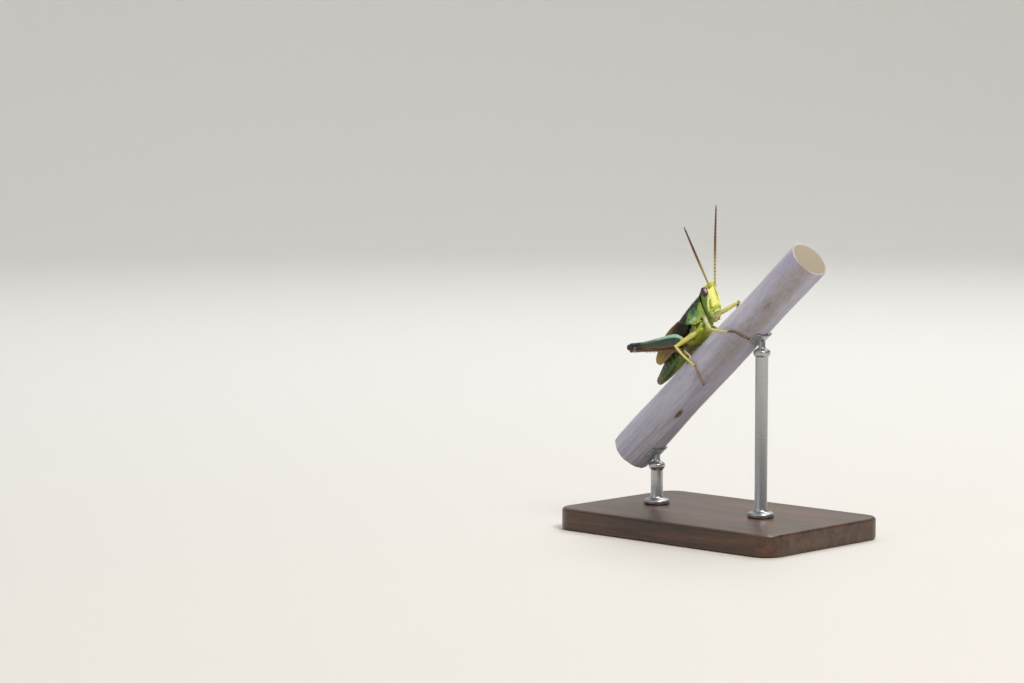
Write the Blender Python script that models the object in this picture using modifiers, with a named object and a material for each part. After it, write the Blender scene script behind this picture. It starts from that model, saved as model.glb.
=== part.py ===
"""A green short-horned grasshopper, life size, clinging to a cut length of dry stem on a display stand.

The insect is laid out in a body frame in millimetres: +X ahead, +Y to its left, +Z out of its back, with
the origin at the tip of the vertex between the antennae. Two empties carry the pose. "perch_frame" lies on
the stem's axis with +X up the stem, and "body_frame" rides on it, pitched a little more steeply.
"""

import math

import bmesh
import bpy
from mathutils import Matrix, Vector

MM = 0.001
GAP = 0.25

# Display stand. The row origin is the middle of the base's underside.
BASE_LENGTH = 40.0
BASE_WIDTH = 26.0
BASE_HEIGHT = 3.2
BASE_EDGE = 0.6
ROD_RADIUS = 0.9
ROD_PLACES = {"stand_rod_low": -11.5, "stand_rod_high": 8.0}
ROD_SADDLE = 1.1

# Perch: a cut length of stem, a little thicker at its lower end.
PERCH_LENGTH = 44.0
PERCH_PITCH = 42.3
PERCH_RADIUS_LOW = 3.1
PERCH_RADIUS_HIGH = 2.88
PERCH_CLEARANCE = 5.0
PERCH_SIDES = 40
PERCH_EDGE = 0.2

# Where the insect sits: the vertex tip's place along the perch from its middle, its height above the
# perch's axis, and how much more steeply the body is pitched than the perch.
HEAD_STATION = 6.44
HEAD_HEIGHT = 8.91
BODY_LIFT = 4.7

# Feet and feelers are drawn no thinner than this radius.
THIN_RADIUS = 0.25
FOOT_CLEARANCE = 0.48
THIGH_GAP = 0.55
ANKLE_GAP = 0.4

TAU = 2.0 * math.pi
SECTION_SIDES = 18
LIMB_SIDES = 10
HIND_FEMUR_SIDES = 12

# Body lofts. Each station is (x at the top, x at the bottom, half width, top z, bottom z).
PRONOTUM = [
    (-2.60, -3.16, 1.30, 0.08, -3.42),
    (-3.4, -3.55, 1.43, 0.14, -3.56),
    (-4.6, -4.2, 1.50, 0.16, -3.52),
    (-5.8, -5.0, 1.58, 0.13, -3.34),
    (-7.0, -5.8, 1.66, 0.08, -3.02),
    (-8.1, -6.5, 1.62, -0.06, -2.62),
]
PROSTERNUM = [
    (-3.8, -3.8, 0.50, -3.82, -4.35),
    (-4.3, -4.3, 0.64, -3.80, -4.50),
    (-5.35, -5.3, 0.70, -3.78, -4.60),
]
PTEROTHORAX = [
    (-7.95, -5.62, 1.30, -0.82, -4.72),
    (-8.3, -6.6, 1.58, -0.78, -4.86),
    (-8.9, -7.8, 1.62, -0.82, -4.88),
    (-9.6, -9.0, 1.55, -0.90, -4.78),
    (-10.0, -9.9, 1.36, -1.0, -4.62),
]
ABDOMEN_FRONT = [
    (-10.28, -10.18, 1.22, -1.12, -4.58),
    (-11.4, -11.4, 1.18, -1.14, -4.54),
    (-12.6, -12.6, 1.12, -1.24, -4.46),
    (-13.6, -13.6, 1.06, -1.38, -4.36),
]
ABDOMEN_REAR = [
    (-13.86, -13.86, 1.04, -1.42, -4.33),
    (-15.2, -15.2, 0.92, -1.96, -4.18),
    (-16.4, -16.4, 0.76, -2.24, -4.00),
    (-17.4, -17.4, 0.52, -2.46, -3.78),
    (-18.0, -18.0, 0.24, -2.86, -3.46),
]

# Head lofts, from the crown down. Each station is (z, front x, rear x, half width, narrowing in front).
HEAD = [
    (0.20, -0.62, -2.18, 0.60, 0.40),
    (0.06, -0.20, -2.32, 0.86, 0.50),
    (-0.20, -0.05, -2.38, 0.98, 0.40),
    (-0.80, -0.22, -2.46, 1.04, 0.18),
    (-1.60, -0.50, -2.60, 1.14, 0.20),
    (-2.40, -0.84, -2.80, 1.22, 0.26),
    (-3.00, -1.12, -2.86, 1.20, 0.28),
    (-3.42, -1.36, -2.92, 1.04, 0.26),
]
MOUTHPARTS = [
    (-3.66, -1.54, -3.00, 0.88, 0.24),
    (-4.02, -1.88, -3.20, 0.80, 0.20),
    (-4.32, -2.34, -3.46, 0.64, 0.16),
    (-4.48, -2.84, -3.56, 0.34, 0.10),
]

# Compound eyes: middle, and half sizes ahead, out and up, tipped back like the face.
EYE_MIDDLE = (-1.44, 0.99, -0.76)
EYE_HALF = (0.64, 0.40, 0.96)
EYE_TIP = 14.0
EYE_SOCKET = 0.2

# Feelers, from the socket to the tip, with a slight bow.
ANTENNA_BASE = (-0.62, 0.56, -0.58)
ANTENNA_TIPS = {"right": (6.70, -7.61, 4.57), "left": (7.29, 1.86, 8.00)}
ANTENNA_START = 0.06
ANTENNA_BOW = 0.1
ANTENNA_POINTS = 9

# Fore wings, folded like a roof. Each station is (ridge x, edge x, half width, ridge z, edge z).
TEGMEN = [
    (-8.40, -7.05, 1.70, 0.10, -2.32),
    (-9.00, -8.10, 1.72, 0.24, -2.54),
    (-10.0, -9.4, 1.70, 0.40, -2.72),
    (-11.2, -10.8, 1.62, 0.44, -2.84),
    (-12.4, -12.2, 1.52, 0.28, -2.84),
    (-13.6, -13.6, 1.38, -0.02, -2.70),
    (-14.6, -14.6, 1.24, -0.42, -2.38),
    (-15.3, -15.3, 1.10, -0.82, -1.98),
    (-15.55, -15.55, 1.02, -1.14, -1.62),
]
TEGMEN_WALL = 0.5
TEGMEN_MIDLINE = 0.2

# Legs. Hips and knees are in the body frame; feet are on the perch, each place given as (distance along
# the perch from its middle, angle from the top towards the right-hand side, in degrees).
LEGS = {
    "fore_right": {
        "hip": (-4.72, -1.12, -4.04), "trochanter": (-4.20, -1.46, -4.34), "knee": (-2.90, -3.62, -6.34),
        "feet": [(7.05, 99.0), (7.30, 119.0), (7.55, 137.0)],
    },
    "fore_left": {
        "hip": (-4.72, 1.12, -4.04), "trochanter": (-4.16, 1.46, -4.22), "knee": (-0.66, 3.45, -3.70),
        "feet": [(3.75, -34.0), (3.20, -55.0), (3.05, -76.0)],
    },
    "middle_right": {
        "hip": (-5.38, -1.27, -4.26), "trochanter": (-5.74, -1.92, -4.18), "knee": (-9.02, -4.08, -3.98),
        "feet": [(-1.80, 84.0), (-2.45, 110.0), (-2.95, 131.0)],
    },
    "middle_left": {
        "hip": (-5.38, 1.27, -4.26), "trochanter": (-5.74, 1.92, -4.18), "knee": (-9.02, 4.08, -3.98),
        "feet": [(-1.60, -84.0), (-2.60, -96.0), (-3.50, -106.0)],
    },
}
HIND_LEG = {
    "hip": (-7.72, 1.98, -4.34), "trochanter": (-8.05, 2.32, -4.00), "thigh_root": (-8.43, 2.46, -3.41),
    "knee": (-16.82, 2.46, 2.98), "shin_start": (-16.70, 2.46, 1.80), "heel": (-9.36, 2.46, -4.38),
    "feet": [(-2.46, 40.0), (-2.80, 56.0)],
}

# Limb profiles: (share of the length, half depth above, half depth below, half thickness).
FEMUR_SLIM = [
    (0.0, 0.30, 0.30, 0.27), (0.2, 0.36, 0.36, 0.32), (0.6, 0.33, 0.33, 0.30), (1.0, 0.27, 0.27, 0.26),
]
FEMUR_HIND = [
    (0.0, 0.50, 0.40, 0.40), (0.05, 0.92, 0.62, 0.54), (0.15, 1.12, 0.66, 0.62), (0.30, 1.04, 0.62, 0.62),
    (0.48, 0.78, 0.50, 0.54), (0.66, 0.60, 0.38, 0.42), (0.82, 0.54, 0.32, 0.36), (0.93, 0.62, 0.36, 0.36),
    (1.0, 0.44, 0.26, 0.28),
]
COXA = [(0.0, 0.34, 0.34, 0.34), (0.5, 0.38, 0.38, 0.38), (1.0, 0.28, 0.28, 0.28)]


def material(name, colour, roughness, metallic=0.0):
    """A plain surface finish."""
    finish = bpy.data.materials.new(name)
    finish.use_nodes = True
    shader = finish.node_tree.nodes["Principled BSDF"]
    shader.inputs["Base Color"].default_value = (*colour, 1.0)
    shader.inputs["Roughness"].default_value = roughness
    shader.inputs["Metallic"].default_value = metallic
    finish.diffuse_color = (*colour, 1.0)
    return finish


def clear_scene():
    for old in list(bpy.data.objects):
        bpy.data.objects.remove(old)


def collection(name):
    group = bpy.data.collections.new(name)
    bpy.context.scene.collection.children.link(group)
    return group


def between(stations, share):
    """The values of a table of stations at a share of its length, on a smooth curve through them."""
    place = share * (len(stations) - 1)
    index = min(int(place), len(stations) - 2)
    local = place - index
    before = stations[max(index - 1, 0)]
    start, end = stations[index], stations[index + 1]
    after = stations[min(index + 2, len(stations) - 1)]
    values = []
    for a, b, c, d in zip(before, start, end, after):
        slope_in, slope_out = (c - a) / 2.0, (d - b) / 2.0
        values.append(
            b
            + slope_in * local
            + (3 * (c - b) - 2 * slope_in - slope_out) * local**2
            + (2 * (b - c) + slope_in + slope_out) * local**3
        )
    return values


def add_object(name, bm, finish, group, parent):
    """Makes a named object of a bmesh in millimetres."""
    bmesh.ops.scale(bm, vec=(MM, MM, MM), verts=bm.verts)
    bmesh.ops.recalc_face_normals(bm, faces=bm.faces)
    mesh = bpy.data.meshes.new(name)
    bm.to_mesh(mesh)
    bm.free()
    mesh.materials.append(finish)
    mesh.shade_smooth()
    mesh.set_sharp_from_angle(angle=math.radians(50))
    part = bpy.data.objects.new(name, mesh)
    group.objects.link(part)
    part.parent = parent
    return part


def skin_rings(rings):
    """A closed bmesh through a row of rings with the same number of points."""
    bm = bmesh.new()
    loops = [[bm.verts.new(point) for point in ring] for ring in rings]
    for first, second in zip(loops, loops[1:]):
        for i in range(len(first)):
            j = (i + 1) % len(first)
            bm.faces.new((first[i], first[j], second[j], second[i]))
    bm.faces.new(loops[0])
    bm.faces.new(loops[-1])
    return bm


def flank_section(x_top, x_bottom, half_width, top, bottom, belly=0.5, pinch=0.0, flat=1.0):
    """A ring across the body. belly is the share of the height where it is widest, pinch narrows the
    upper part, and flat under 1 squares the ring's corners."""
    middle = bottom + belly * (top - bottom)
    ring = []
    for i in range(SECTION_SIDES):
        angle = TAU * (i + 0.5) / SECTION_SIDES
        rise, side = math.cos(angle), math.sin(angle)
        rise = math.copysign(abs(rise) ** flat, rise)
        side = math.copysign(abs(side) ** flat, side)
        z = middle + rise * ((top - middle) if rise > 0 else (middle - bottom))
        y = side * half_width * (1.0 - pinch * max(rise, 0.0))
        share = (z - bottom) / (top - bottom)
        ring.append(Vector((x_bottom + (x_top - x_bottom) * share, y, z)))
    return ring


def body_loft(name, stations, rings, finish, group, parent, **shape):
    """A length of the body, lofted through its stations."""
    steps = [between(stations, i / (rings - 1)) for i in range(rings)]
    sections = [flank_section(*step, **shape) for step in steps]
    return add_object(name, skin_rings(sections), finish, group, parent)


def face_section(z, front, rear, half_width, narrowing):
    """A ring round the head at one height, narrower in front than behind."""
    middle, reach = (front + rear) / 2.0, (front - rear) / 2.0
    ring = []
    for i in range(SECTION_SIDES):
        angle = TAU * (i + 0.5) / SECTION_SIDES
        ahead, side = math.cos(angle), math.sin(angle)
        ahead = math.copysign(abs(ahead) ** 0.85, ahead)
        y = side * half_width * (1.0 - narrowing * max(ahead, 0.0))
        ring.append(Vector((middle + reach * ahead, y, z)))
    return ring


def head_loft(name, stations, rings, finish, group, parent):
    steps = [between(stations, i / (rings - 1)) for i in range(rings)]
    return add_object(name, skin_rings([face_section(*step) for step in steps]), finish, group, parent)


def eye(name, side, grow, finish, group, parent):
    """An egg-shaped compound eye, or with grow the cutter for its socket."""
    bm = bmesh.new()
    bmesh.ops.create_uvsphere(bm, u_segments=14, v_segments=9, radius=1.0)
    half = [size + grow for size in EYE_HALF]
    middle = Vector((EYE_MIDDLE[0], side * EYE_MIDDLE[1], EYE_MIDDLE[2]))
    tip = Matrix.Rotation(math.radians(EYE_TIP), 4, "Y")
    placement = Matrix.Translation(middle) @ tip @ Matrix.Diagonal((*half, 1.0))
    bmesh.ops.transform(bm, matrix=placement, verts=bm.verts)
    return add_object(name, bm, finish, group, parent)


def cut(part, cutter):
    """Cuts one part with another, which then only guides."""
    cutter.hide_render = True
    cutter.display_type = "WIRE"
    modifier = part.modifiers.new("cut", "BOOLEAN")
    modifier.operation = "DIFFERENCE"
    modifier.object = cutter


def limb_frame(start, end, outward):
    """Placement with +X from start to end, +Y close to outward and +Z across both."""
    ahead = (end - start).normalized()
    above = ahead.cross(outward).normalized()
    side = above.cross(ahead)
    frame = Matrix((ahead, side, above)).transposed().to_4x4()
    frame.translation = start * MM
    return frame


def limb(name, start, end, outward, profile, rings, sides, finish, group, parent):
    """A tapering limb between two points, oval across, modelled along its own X and then placed."""
    length = (end - start).length
    loops = []
    for i in range(rings):
        share, above, below, thick = between(profile, i / (rings - 1))
        loop = []
        for k in range(sides):
            angle = TAU * (k + 0.5) / sides
            rise = math.cos(angle)
            z = rise * (above if rise > 0 else below)
            loop.append(Vector((share * length, math.sin(angle) * thick, z)))
        loops.append(loop)
    part = add_object(name, skin_rings(loops), finish, group, parent)
    part.matrix_local = limb_frame(start, end, outward)
    return part


def rod(name, points, radius, finish, group, parent):
    """A round thin piece along a row of points."""
    curve = bpy.data.curves.new(name, "CURVE")
    curve.dimensions = "3D"
    curve.bevel_depth = radius * MM
    curve.bevel_resolution = 1
    curve.use_fill_caps = True
    spline = curve.splines.new("POLY")
    spline.points.add(len(points) - 1)
    for knot, point in zip(spline.points, points):
        knot.co = (*(point * MM), 1.0)
    curve.materials.append(finish)
    part = bpy.data.objects.new(name, curve)
    group.objects.link(part)
    part.parent = parent
    return part


def toward(start, end, distance):
    """The point at a distance from the first point towards the second."""
    return start + (end - start).normalized() * distance


def knee_gap(hip_side, knee, ankle):
    """How far from the knee a shin starts, to stay clear of the thigh's blunt end."""
    bend = (hip_side - knee).angle(ankle - knee)
    thigh_radius = FEMUR_SLIM[-1][1]
    beside = (thigh_radius + GAP + THIN_RADIUS * math.cos(bend)) / math.sin(bend)
    if bend <= math.radians(90):
        return beside
    beyond = (GAP + THIN_RADIUS * math.sin(bend)) / -math.cos(bend)
    return min(beside, beyond)


def perch_point(station, angle, lift):
    """A point above the perch's skin, in the perch frame."""
    share = 0.5 + station / PERCH_LENGTH
    radius = PERCH_RADIUS_LOW + (PERCH_RADIUS_HIGH - PERCH_RADIUS_LOW) * share + lift
    turn = math.radians(angle)
    return Vector((station, -radius * math.sin(turn), radius * math.cos(turn)))


def body_from_perch(point):
    """A point of the perch frame, in the body frame."""
    moved = point - Vector((HEAD_STATION, 0.0, HEAD_HEIGHT))
    return Matrix.Rotation(math.radians(BODY_LIFT), 3, "Y") @ moved


def make_frames(group):
    """The two empties that carry the pose."""
    perch_frame = bpy.data.objects.new("perch_frame", None)
    body_frame = bpy.data.objects.new("body_frame", None)
    for empty in (perch_frame, body_frame):
        group.objects.link(empty)
    pitch = math.radians(PERCH_PITCH)
    drop = PERCH_RADIUS_LOW * math.cos(pitch) + PERCH_LENGTH / 2.0 * math.sin(pitch)
    perch_frame.location = (0.0, 0.0, (BASE_HEIGHT + PERCH_CLEARANCE + drop) * MM)
    perch_frame.rotation_euler = (0.0, -pitch, 0.0)
    body_frame.parent = perch_frame
    body_frame.location = (HEAD_STATION * MM, 0.0, HEAD_HEIGHT * MM)
    body_frame.rotation_euler = (0.0, -math.radians(BODY_LIFT), 0.0)
    bpy.context.view_layer.update()
    return perch_frame, body_frame


def make_perch(name, extra_radius, finish, group, perch_frame, edge):
    """The stem, or with extra_radius the cutter that shapes what holds it."""
    bm = bmesh.new()
    bmesh.ops.create_cone(
        bm, cap_ends=True, segments=PERCH_SIDES, radius1=PERCH_RADIUS_LOW + extra_radius,
        radius2=PERCH_RADIUS_HIGH + extra_radius, depth=PERCH_LENGTH,
    )
    bmesh.ops.rotate(bm, matrix=Matrix.Rotation(math.radians(90), 3, "Y"), verts=bm.verts)
    perch = add_object(name, bm, finish, group, perch_frame)
    if edge:
        bevel = perch.modifiers.new("edge", "BEVEL")
        bevel.width = PERCH_EDGE * MM
        bevel.segments = 2
        bevel.limit_method = "ANGLE"
    return perch


def make_stand(wood, metal, group, guides, perch_frame):
    """A flat base and two upright rods whose tops are hollowed to the stem."""
    bm = bmesh.new()
    bmesh.ops.create_cube(bm, size=1.0)
    bmesh.ops.scale(bm, vec=(BASE_LENGTH, BASE_WIDTH, BASE_HEIGHT), verts=bm.verts)
    bmesh.ops.translate(bm, vec=(0.0, 0.0, BASE_HEIGHT / 2.0), verts=bm.verts)
    uprights = [edge for edge in bm.edges if abs(edge.verts[0].co.z - edge.verts[1].co.z) > BASE_HEIGHT / 2.0]
    bmesh.ops.bevel(bm, geom=uprights, offset=3.0, segments=6, profile=0.5, affect="EDGES")
    base = add_object("stand_base", bm, wood, group, None)
    edge = base.modifiers.new("edge", "BEVEL")
    edge.width = BASE_EDGE * MM
    edge.segments = 2
    edge.limit_method = "ANGLE"
    edge.angle_limit = math.radians(60)

    saddle = make_perch("rod_saddle", GAP, metal, guides, perch_frame, edge=False)
    axis_height = perch_frame.location.z / MM
    for name, place in ROD_PLACES.items():
        foot = BASE_HEIGHT + GAP
        under = PERCH_RADIUS_LOW / math.cos(math.radians(PERCH_PITCH))
        top = axis_height + place * math.tan(math.radians(PERCH_PITCH)) - under + ROD_SADDLE
        bm = bmesh.new()
        bmesh.ops.create_cone(
            bm, cap_ends=True, segments=20, radius1=ROD_RADIUS, radius2=ROD_RADIUS, depth=top - foot
        )
        bmesh.ops.translate(bm, vec=(place, 0.0, (top + foot) / 2.0), verts=bm.verts)
        upright = add_object(name, bm, metal, group, None)
        cut(upright, saddle)


def make_head(colours, group, guides, body):
    """The head capsule with its eye sockets, the mouthparts, the eyes and the feelers."""
    head = head_loft("head", HEAD, 13, colours["face"], group, body)
    head_loft("mouthparts", MOUTHPARTS, 6, colours["mouth"], group, body)
    for name, side in (("right", -1), ("left", 1)):
        eye(f"eye_{name}", side, 0.0, colours["eye"], group, body)
        cut(head, eye(f"eye_socket_{name}", side, EYE_SOCKET, colours["eye"], guides, body))
        base = Vector((ANTENNA_BASE[0], side * ANTENNA_BASE[1], ANTENNA_BASE[2]))
        tip = Vector(ANTENNA_TIPS[name])
        points = []
        for i in range(ANTENNA_POINTS):
            share = ANTENNA_START + (1.0 - ANTENNA_START) * i / (ANTENNA_POINTS - 1)
            bow = ANTENNA_BOW * math.sin(math.pi * share)
            points.append(base.lerp(tip, share) + Vector((0.0, 0.0, bow)))
        rod(f"antenna_{name}", points, THIN_RADIUS, colours["antenna"], group, body)


def make_trunk(colours, group, body):
    """The pronotum, the rest of the thorax and the abdomen."""
    body_loft("pronotum", PRONOTUM, 11, colours["pronotum"], group, body, belly=0.42, pinch=0.12, flat=0.72)
    body_loft("prosternum", PROSTERNUM, 4, colours["breast"], group, body)
    body_loft("pterothorax", PTEROTHORAX, 9, colours["breast"], group, body, belly=0.24, pinch=0.80, flat=0.9)
    body_loft("abdomen_front", ABDOMEN_FRONT, 6, colours["abdomen"], group, body, belly=0.24, pinch=0.74)
    body_loft("abdomen_rear", ABDOMEN_REAR, 9, colours["abdomen"], group, body, belly=0.32, pinch=0.56)


def make_tegmen(name, side, finish, group, body):
    """A fore wing: a bent plate from the ridge of the back down over the flank."""
    bm = bmesh.new()
    rows = 12
    grid = []
    for i in range(rows):
        x_ridge, x_edge, half_width, ridge, edge = between(TEGMEN, i / (rows - 1))
        bends = [(0.0, 0.0), (0.5, 0.05), (0.84, 0.17), (1.0, 0.40), (1.02, 0.7), (0.97, 1.0)]
        line = []
        for out, down in bends:
            y = TEGMEN_MIDLINE + out * (half_width - TEGMEN_MIDLINE)
            z = ridge + down * (edge - ridge)
            line.append(bm.verts.new((x_ridge + down * (x_edge - x_ridge), side * y, z)))
        grid.append(line)
    for first, second in zip(grid, grid[1:]):
        for k in range(len(first) - 1):
            corners = (first[k], first[k + 1], second[k + 1], second[k])
            bm.faces.new(corners if side > 0 else tuple(reversed(corners)))
    bmesh.ops.scale(bm, vec=(MM, MM, MM), verts=bm.verts)
    mesh = bpy.data.meshes.new(name)
    bm.to_mesh(mesh)
    bm.free()
    mesh.materials.append(finish)
    mesh.shade_smooth()
    wing = bpy.data.objects.new(name, mesh)
    group.objects.link(wing)
    wing.parent = body
    wall = wing.modifiers.new("wall", "SOLIDIFY")
    wall.thickness = TEGMEN_WALL * MM
    wall.offset = -1.0
    wall.use_even_offset = True


def make_walking_leg(name, leg, colours, group, body):
    """A fore or middle leg, gripping the perch with its foot."""
    outward = Vector((0.0, -1.0 if leg["hip"][1] < 0 else 1.0, 0.0))
    hip, trochanter, knee = (Vector(leg[key]) for key in ("hip", "trochanter", "knee"))
    ankle, *foot = [body_from_perch(perch_point(*place, FOOT_CLEARANCE)) for place in leg["feet"]]
    limb(f"coxa_{name}", hip, trochanter, outward, COXA, 4, LIMB_SIDES, colours["limb"], group, body)
    start = toward(trochanter, knee, THIGH_GAP)
    limb(f"femur_{name}", start, knee, outward, FEMUR_SLIM, 6, LIMB_SIDES, colours["limb"], group, body)
    shin_start = toward(knee, ankle, knee_gap(start, knee, ankle))
    rod(f"tibia_{name}", [shin_start, ankle], THIN_RADIUS, colours["shin"], group, body)
    foot_start = toward(ankle, foot[0], ANKLE_GAP)
    rod(f"tarsus_{name}", [foot_start, *foot], THIN_RADIUS, colours["foot"], group, body)


def make_hind_leg(name, side, colours, group, body):
    """A jumping leg: a deep thigh held back along the body, with the shin folded up beneath it."""
    def place(key):
        x, y, z = HIND_LEG[key]
        return Vector((x, side * y, z))

    across = Vector((0.0, -1.0, 0.0))
    foot = [
        body_from_perch(perch_point(station, -side * angle, FOOT_CLEARANCE))
        for station, angle in HIND_LEG["feet"]
    ]
    limb(f"coxa_hind_{name}", place("hip"), place("trochanter"), across, COXA, 4, LIMB_SIDES,
         colours["limb"], group, body)
    limb(f"femur_hind_{name}", place("thigh_root"), place("knee"), across, FEMUR_HIND, 15, HIND_FEMUR_SIDES,
         colours["thigh"], group, body)
    rod(f"tibia_hind_{name}", [place("shin_start"), place("heel")], THIN_RADIUS, colours["shin"], group, body)
    foot_start = toward(place("heel"), foot[0], ANKLE_GAP + 0.15)
    rod(f"tarsus_hind_{name}", [foot_start, *foot], THIN_RADIUS, colours["foot"], group, body)


def main():
    clear_scene()
    parts = collection("grasshopper")
    guides = collection("cutters")
    colours = {
        "face": material("face", (0.62, 0.72, 0.16), 0.4),
        "mouth": material("mouth", (0.56, 0.58, 0.26), 0.45),
        "eye": material("eye", (0.06, 0.03, 0.05), 0.25),
        "antenna": material("antenna", (0.24, 0.12, 0.05), 0.5),
        "pronotum": material("pronotum", (0.15, 0.30, 0.09), 0.4),
        "breast": material("breast", (0.36, 0.45, 0.06), 0.45),
        "abdomen": material("abdomen", (0.09, 0.17, 0.03), 0.45),
        "wing": material("wing", (0.16, 0.09, 0.03), 0.5),
        "limb": material("limb", (0.55, 0.54, 0.20), 0.45),
        "thigh": material("thigh", (0.10, 0.25, 0.14), 0.4),
        "shin": material("shin", (0.45, 0.34, 0.14), 0.45),
        "foot": material("foot", (0.22, 0.11, 0.05), 0.5),
        "stem": material("stem", (0.45, 0.43, 0.50), 0.8),
    }
    wood = material("stand_wood", (0.09, 0.05, 0.03), 0.4)
    metal = material("stand_metal", (0.55, 0.55, 0.56), 0.3, 1.0)

    perch_frame, body = make_frames(guides)
    make_perch("perch", 0.0, colours["stem"], parts, perch_frame, edge=True)
    make_stand(wood, metal, parts, guides, perch_frame)
    make_head(colours, parts, guides, body)
    make_trunk(colours, parts, body)
    for name, side in (("right", -1), ("left", 1)):
        make_tegmen(f"tegmen_{name}", side, colours["wing"], parts, body)
        make_hind_leg(name, side, colours, parts, body)
    for name, leg in LEGS.items():
        make_walking_leg(name, leg, colours, parts, body)
    bpy.context.view_layer.update()


main()
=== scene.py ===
"""The looks of a life-size green grasshopper on a cut length of dry stem, held by a display stand.

The insect is modelled in its own frame, in millimetres: +X ahead, +Y to its left, +Z out of its back, from
the tip of the vertex between the feelers. The stem has a frame of its own, with +X up its axis. A finished
piece is set down in the row frame, in metres, with its object at the origin.
"""

import logging
import math
import random
from collections.abc import Callable, Iterator, Sequence
from contextlib import contextmanager
from dataclasses import dataclass, field
from enum import Enum

import bpy
import numpy as np
from bpy.types import Material, Node, NodeSocket, NodeTree, Object
from mathutils import Matrix, Vector


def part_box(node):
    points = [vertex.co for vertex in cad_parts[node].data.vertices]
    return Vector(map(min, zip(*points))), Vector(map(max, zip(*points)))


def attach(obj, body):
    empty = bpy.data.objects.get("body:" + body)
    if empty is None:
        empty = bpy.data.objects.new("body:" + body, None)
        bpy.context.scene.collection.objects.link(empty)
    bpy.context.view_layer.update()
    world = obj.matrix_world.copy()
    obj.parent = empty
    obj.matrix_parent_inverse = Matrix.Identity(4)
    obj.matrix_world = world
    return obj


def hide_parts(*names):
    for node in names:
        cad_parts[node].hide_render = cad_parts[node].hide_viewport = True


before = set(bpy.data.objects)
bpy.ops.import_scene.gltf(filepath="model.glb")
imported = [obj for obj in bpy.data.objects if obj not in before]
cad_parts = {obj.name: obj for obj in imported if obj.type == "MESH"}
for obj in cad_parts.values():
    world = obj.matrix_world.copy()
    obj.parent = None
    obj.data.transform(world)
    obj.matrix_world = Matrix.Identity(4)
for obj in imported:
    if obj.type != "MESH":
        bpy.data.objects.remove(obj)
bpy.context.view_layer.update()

log = logging.getLogger("grasshopper")

Array = np.ndarray
Point = tuple[float, float, float] | Vector
Span = tuple[float, float]
Path = Sequence[Span]
Shape = Callable[[Array, Array], Array]

MM = 0.001
WELD = 1e-6
COAT_PATCH = 0.003
TAU = 2.0 * math.pi
STEM_PITCH = 42.3
SIDES = {"right": -1, "left": 1}


# ---- Modelling tools ----


def smooth(values: Array | float, low: float, high: float) -> Array:
    """Rises softly from 0 at low to 1 at high, or falls if low is the larger."""
    share = np.clip((values - low) / (high - low), 0.0, 1.0)
    return share * share * (3.0 - 2.0 * share)


def peak(values: Array, middle: float, width: float) -> Array:
    """Is 1 at a place and fades softly to 0 on both sides of it."""
    return np.exp(-(((values - middle) / width) ** 2))


def swell(values: Array, power: float | Array) -> Array:
    """Bends a wave's values, to square a round section's corners when the power is under 1."""
    return np.sign(values) * abs(values) ** power


class Stations:
    """Measurements along a form, read on a smooth curve through them."""

    def __init__(self, *rows: Sequence[float]) -> None:
        """Keeps the rows, which are evenly spread along the form."""
        self.rows = np.array(rows, float)

    def at(self, share: Array | float) -> Array:
        """Reads the measurements.

        Args:
            share: Places along the form, from 0 to 1.

        Returns:
            A row of measurements for each place.
        """
        last = len(self.rows) - 1
        place = np.clip(np.atleast_1d(share), 0.0, 1.0) * last
        index = np.minimum(place.astype(int), last - 1)
        local = (place - index)[:, None]
        start, end = self.rows[index], self.rows[index + 1]
        slope_in = (end - self.rows[np.maximum(index - 1, 0)]) / 2.0
        slope_out = (self.rows[np.minimum(index + 2, last)] - start) / 2.0
        square = 3.0 * (end - start) - 2.0 * slope_in - slope_out
        cube = 2.0 * (start - end) + slope_in + slope_out
        return start + slope_in * local + square * local**2 + cube * local**3


def select(*pieces: Object) -> None:
    """Selects some pieces and nothing else, with the first one active."""
    bpy.ops.object.select_all(action="DESELECT")
    for piece in pieces:
        piece.select_set(True)
    bpy.context.view_layer.objects.active = pieces[0]


@contextmanager
def editing(piece: Object) -> Iterator[None]:
    """Opens one piece in edit mode."""
    select(piece)
    bpy.ops.object.mode_set(mode="EDIT")
    yield
    bpy.ops.object.mode_set(mode="OBJECT")


def added(name: str, primitive: Callable, **settings: object) -> Object:
    """Adds a primitive, names it and applies its place, turn and size."""
    bpy.ops.object.select_all(action="DESELECT")
    primitive(**settings)
    piece = bpy.context.object
    piece.name = piece.data.name = name
    bpy.ops.object.transform_apply(location=True, rotation=True, scale=True)
    return piece


def apply_modifier(piece: Object, kind: str, **settings: object) -> None:
    """Adds a modifier with its settings and applies it."""
    modifier = piece.modifiers.new(kind.lower(), kind)
    for key, value in settings.items():
        setattr(modifier, key, value)
    select(piece)
    bpy.ops.object.modifier_apply(modifier=modifier.name)


def soften_edges(piece: Object, width_mm: float, steps: int, sharp: float, crisp: float) -> None:
    """Rounds the edges over a sharp angle and shades smooth all but those over a crisp one, in degrees."""
    apply_modifier(
        piece, "BEVEL", width=width_mm * MM, segments=steps, limit_method="ANGLE",
        angle_limit=math.radians(sharp),
    )
    bpy.ops.object.shade_smooth_by_angle(angle=math.radians(crisp))


def points_of(piece: Object) -> Array:
    """The places of a piece's vertices."""
    flat = np.zeros(len(piece.data.vertices) * 3)
    piece.data.vertices.foreach_get("co", flat)
    return flat.reshape(-1, 3)


def move_points(piece: Object, points: Array) -> None:
    """Puts a piece's vertices at new places."""
    piece.data.vertices.foreach_set("co", points.ravel())
    piece.data.update()


def read_mark(piece: Object, name: str) -> Array:
    """Reads a number that each vertex carries, 0 if it carries none."""
    values = np.zeros(len(piece.data.vertices))
    layer = piece.data.attributes.get(name)
    if layer:
        layer.data.foreach_get("value", values)
    return values


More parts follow.
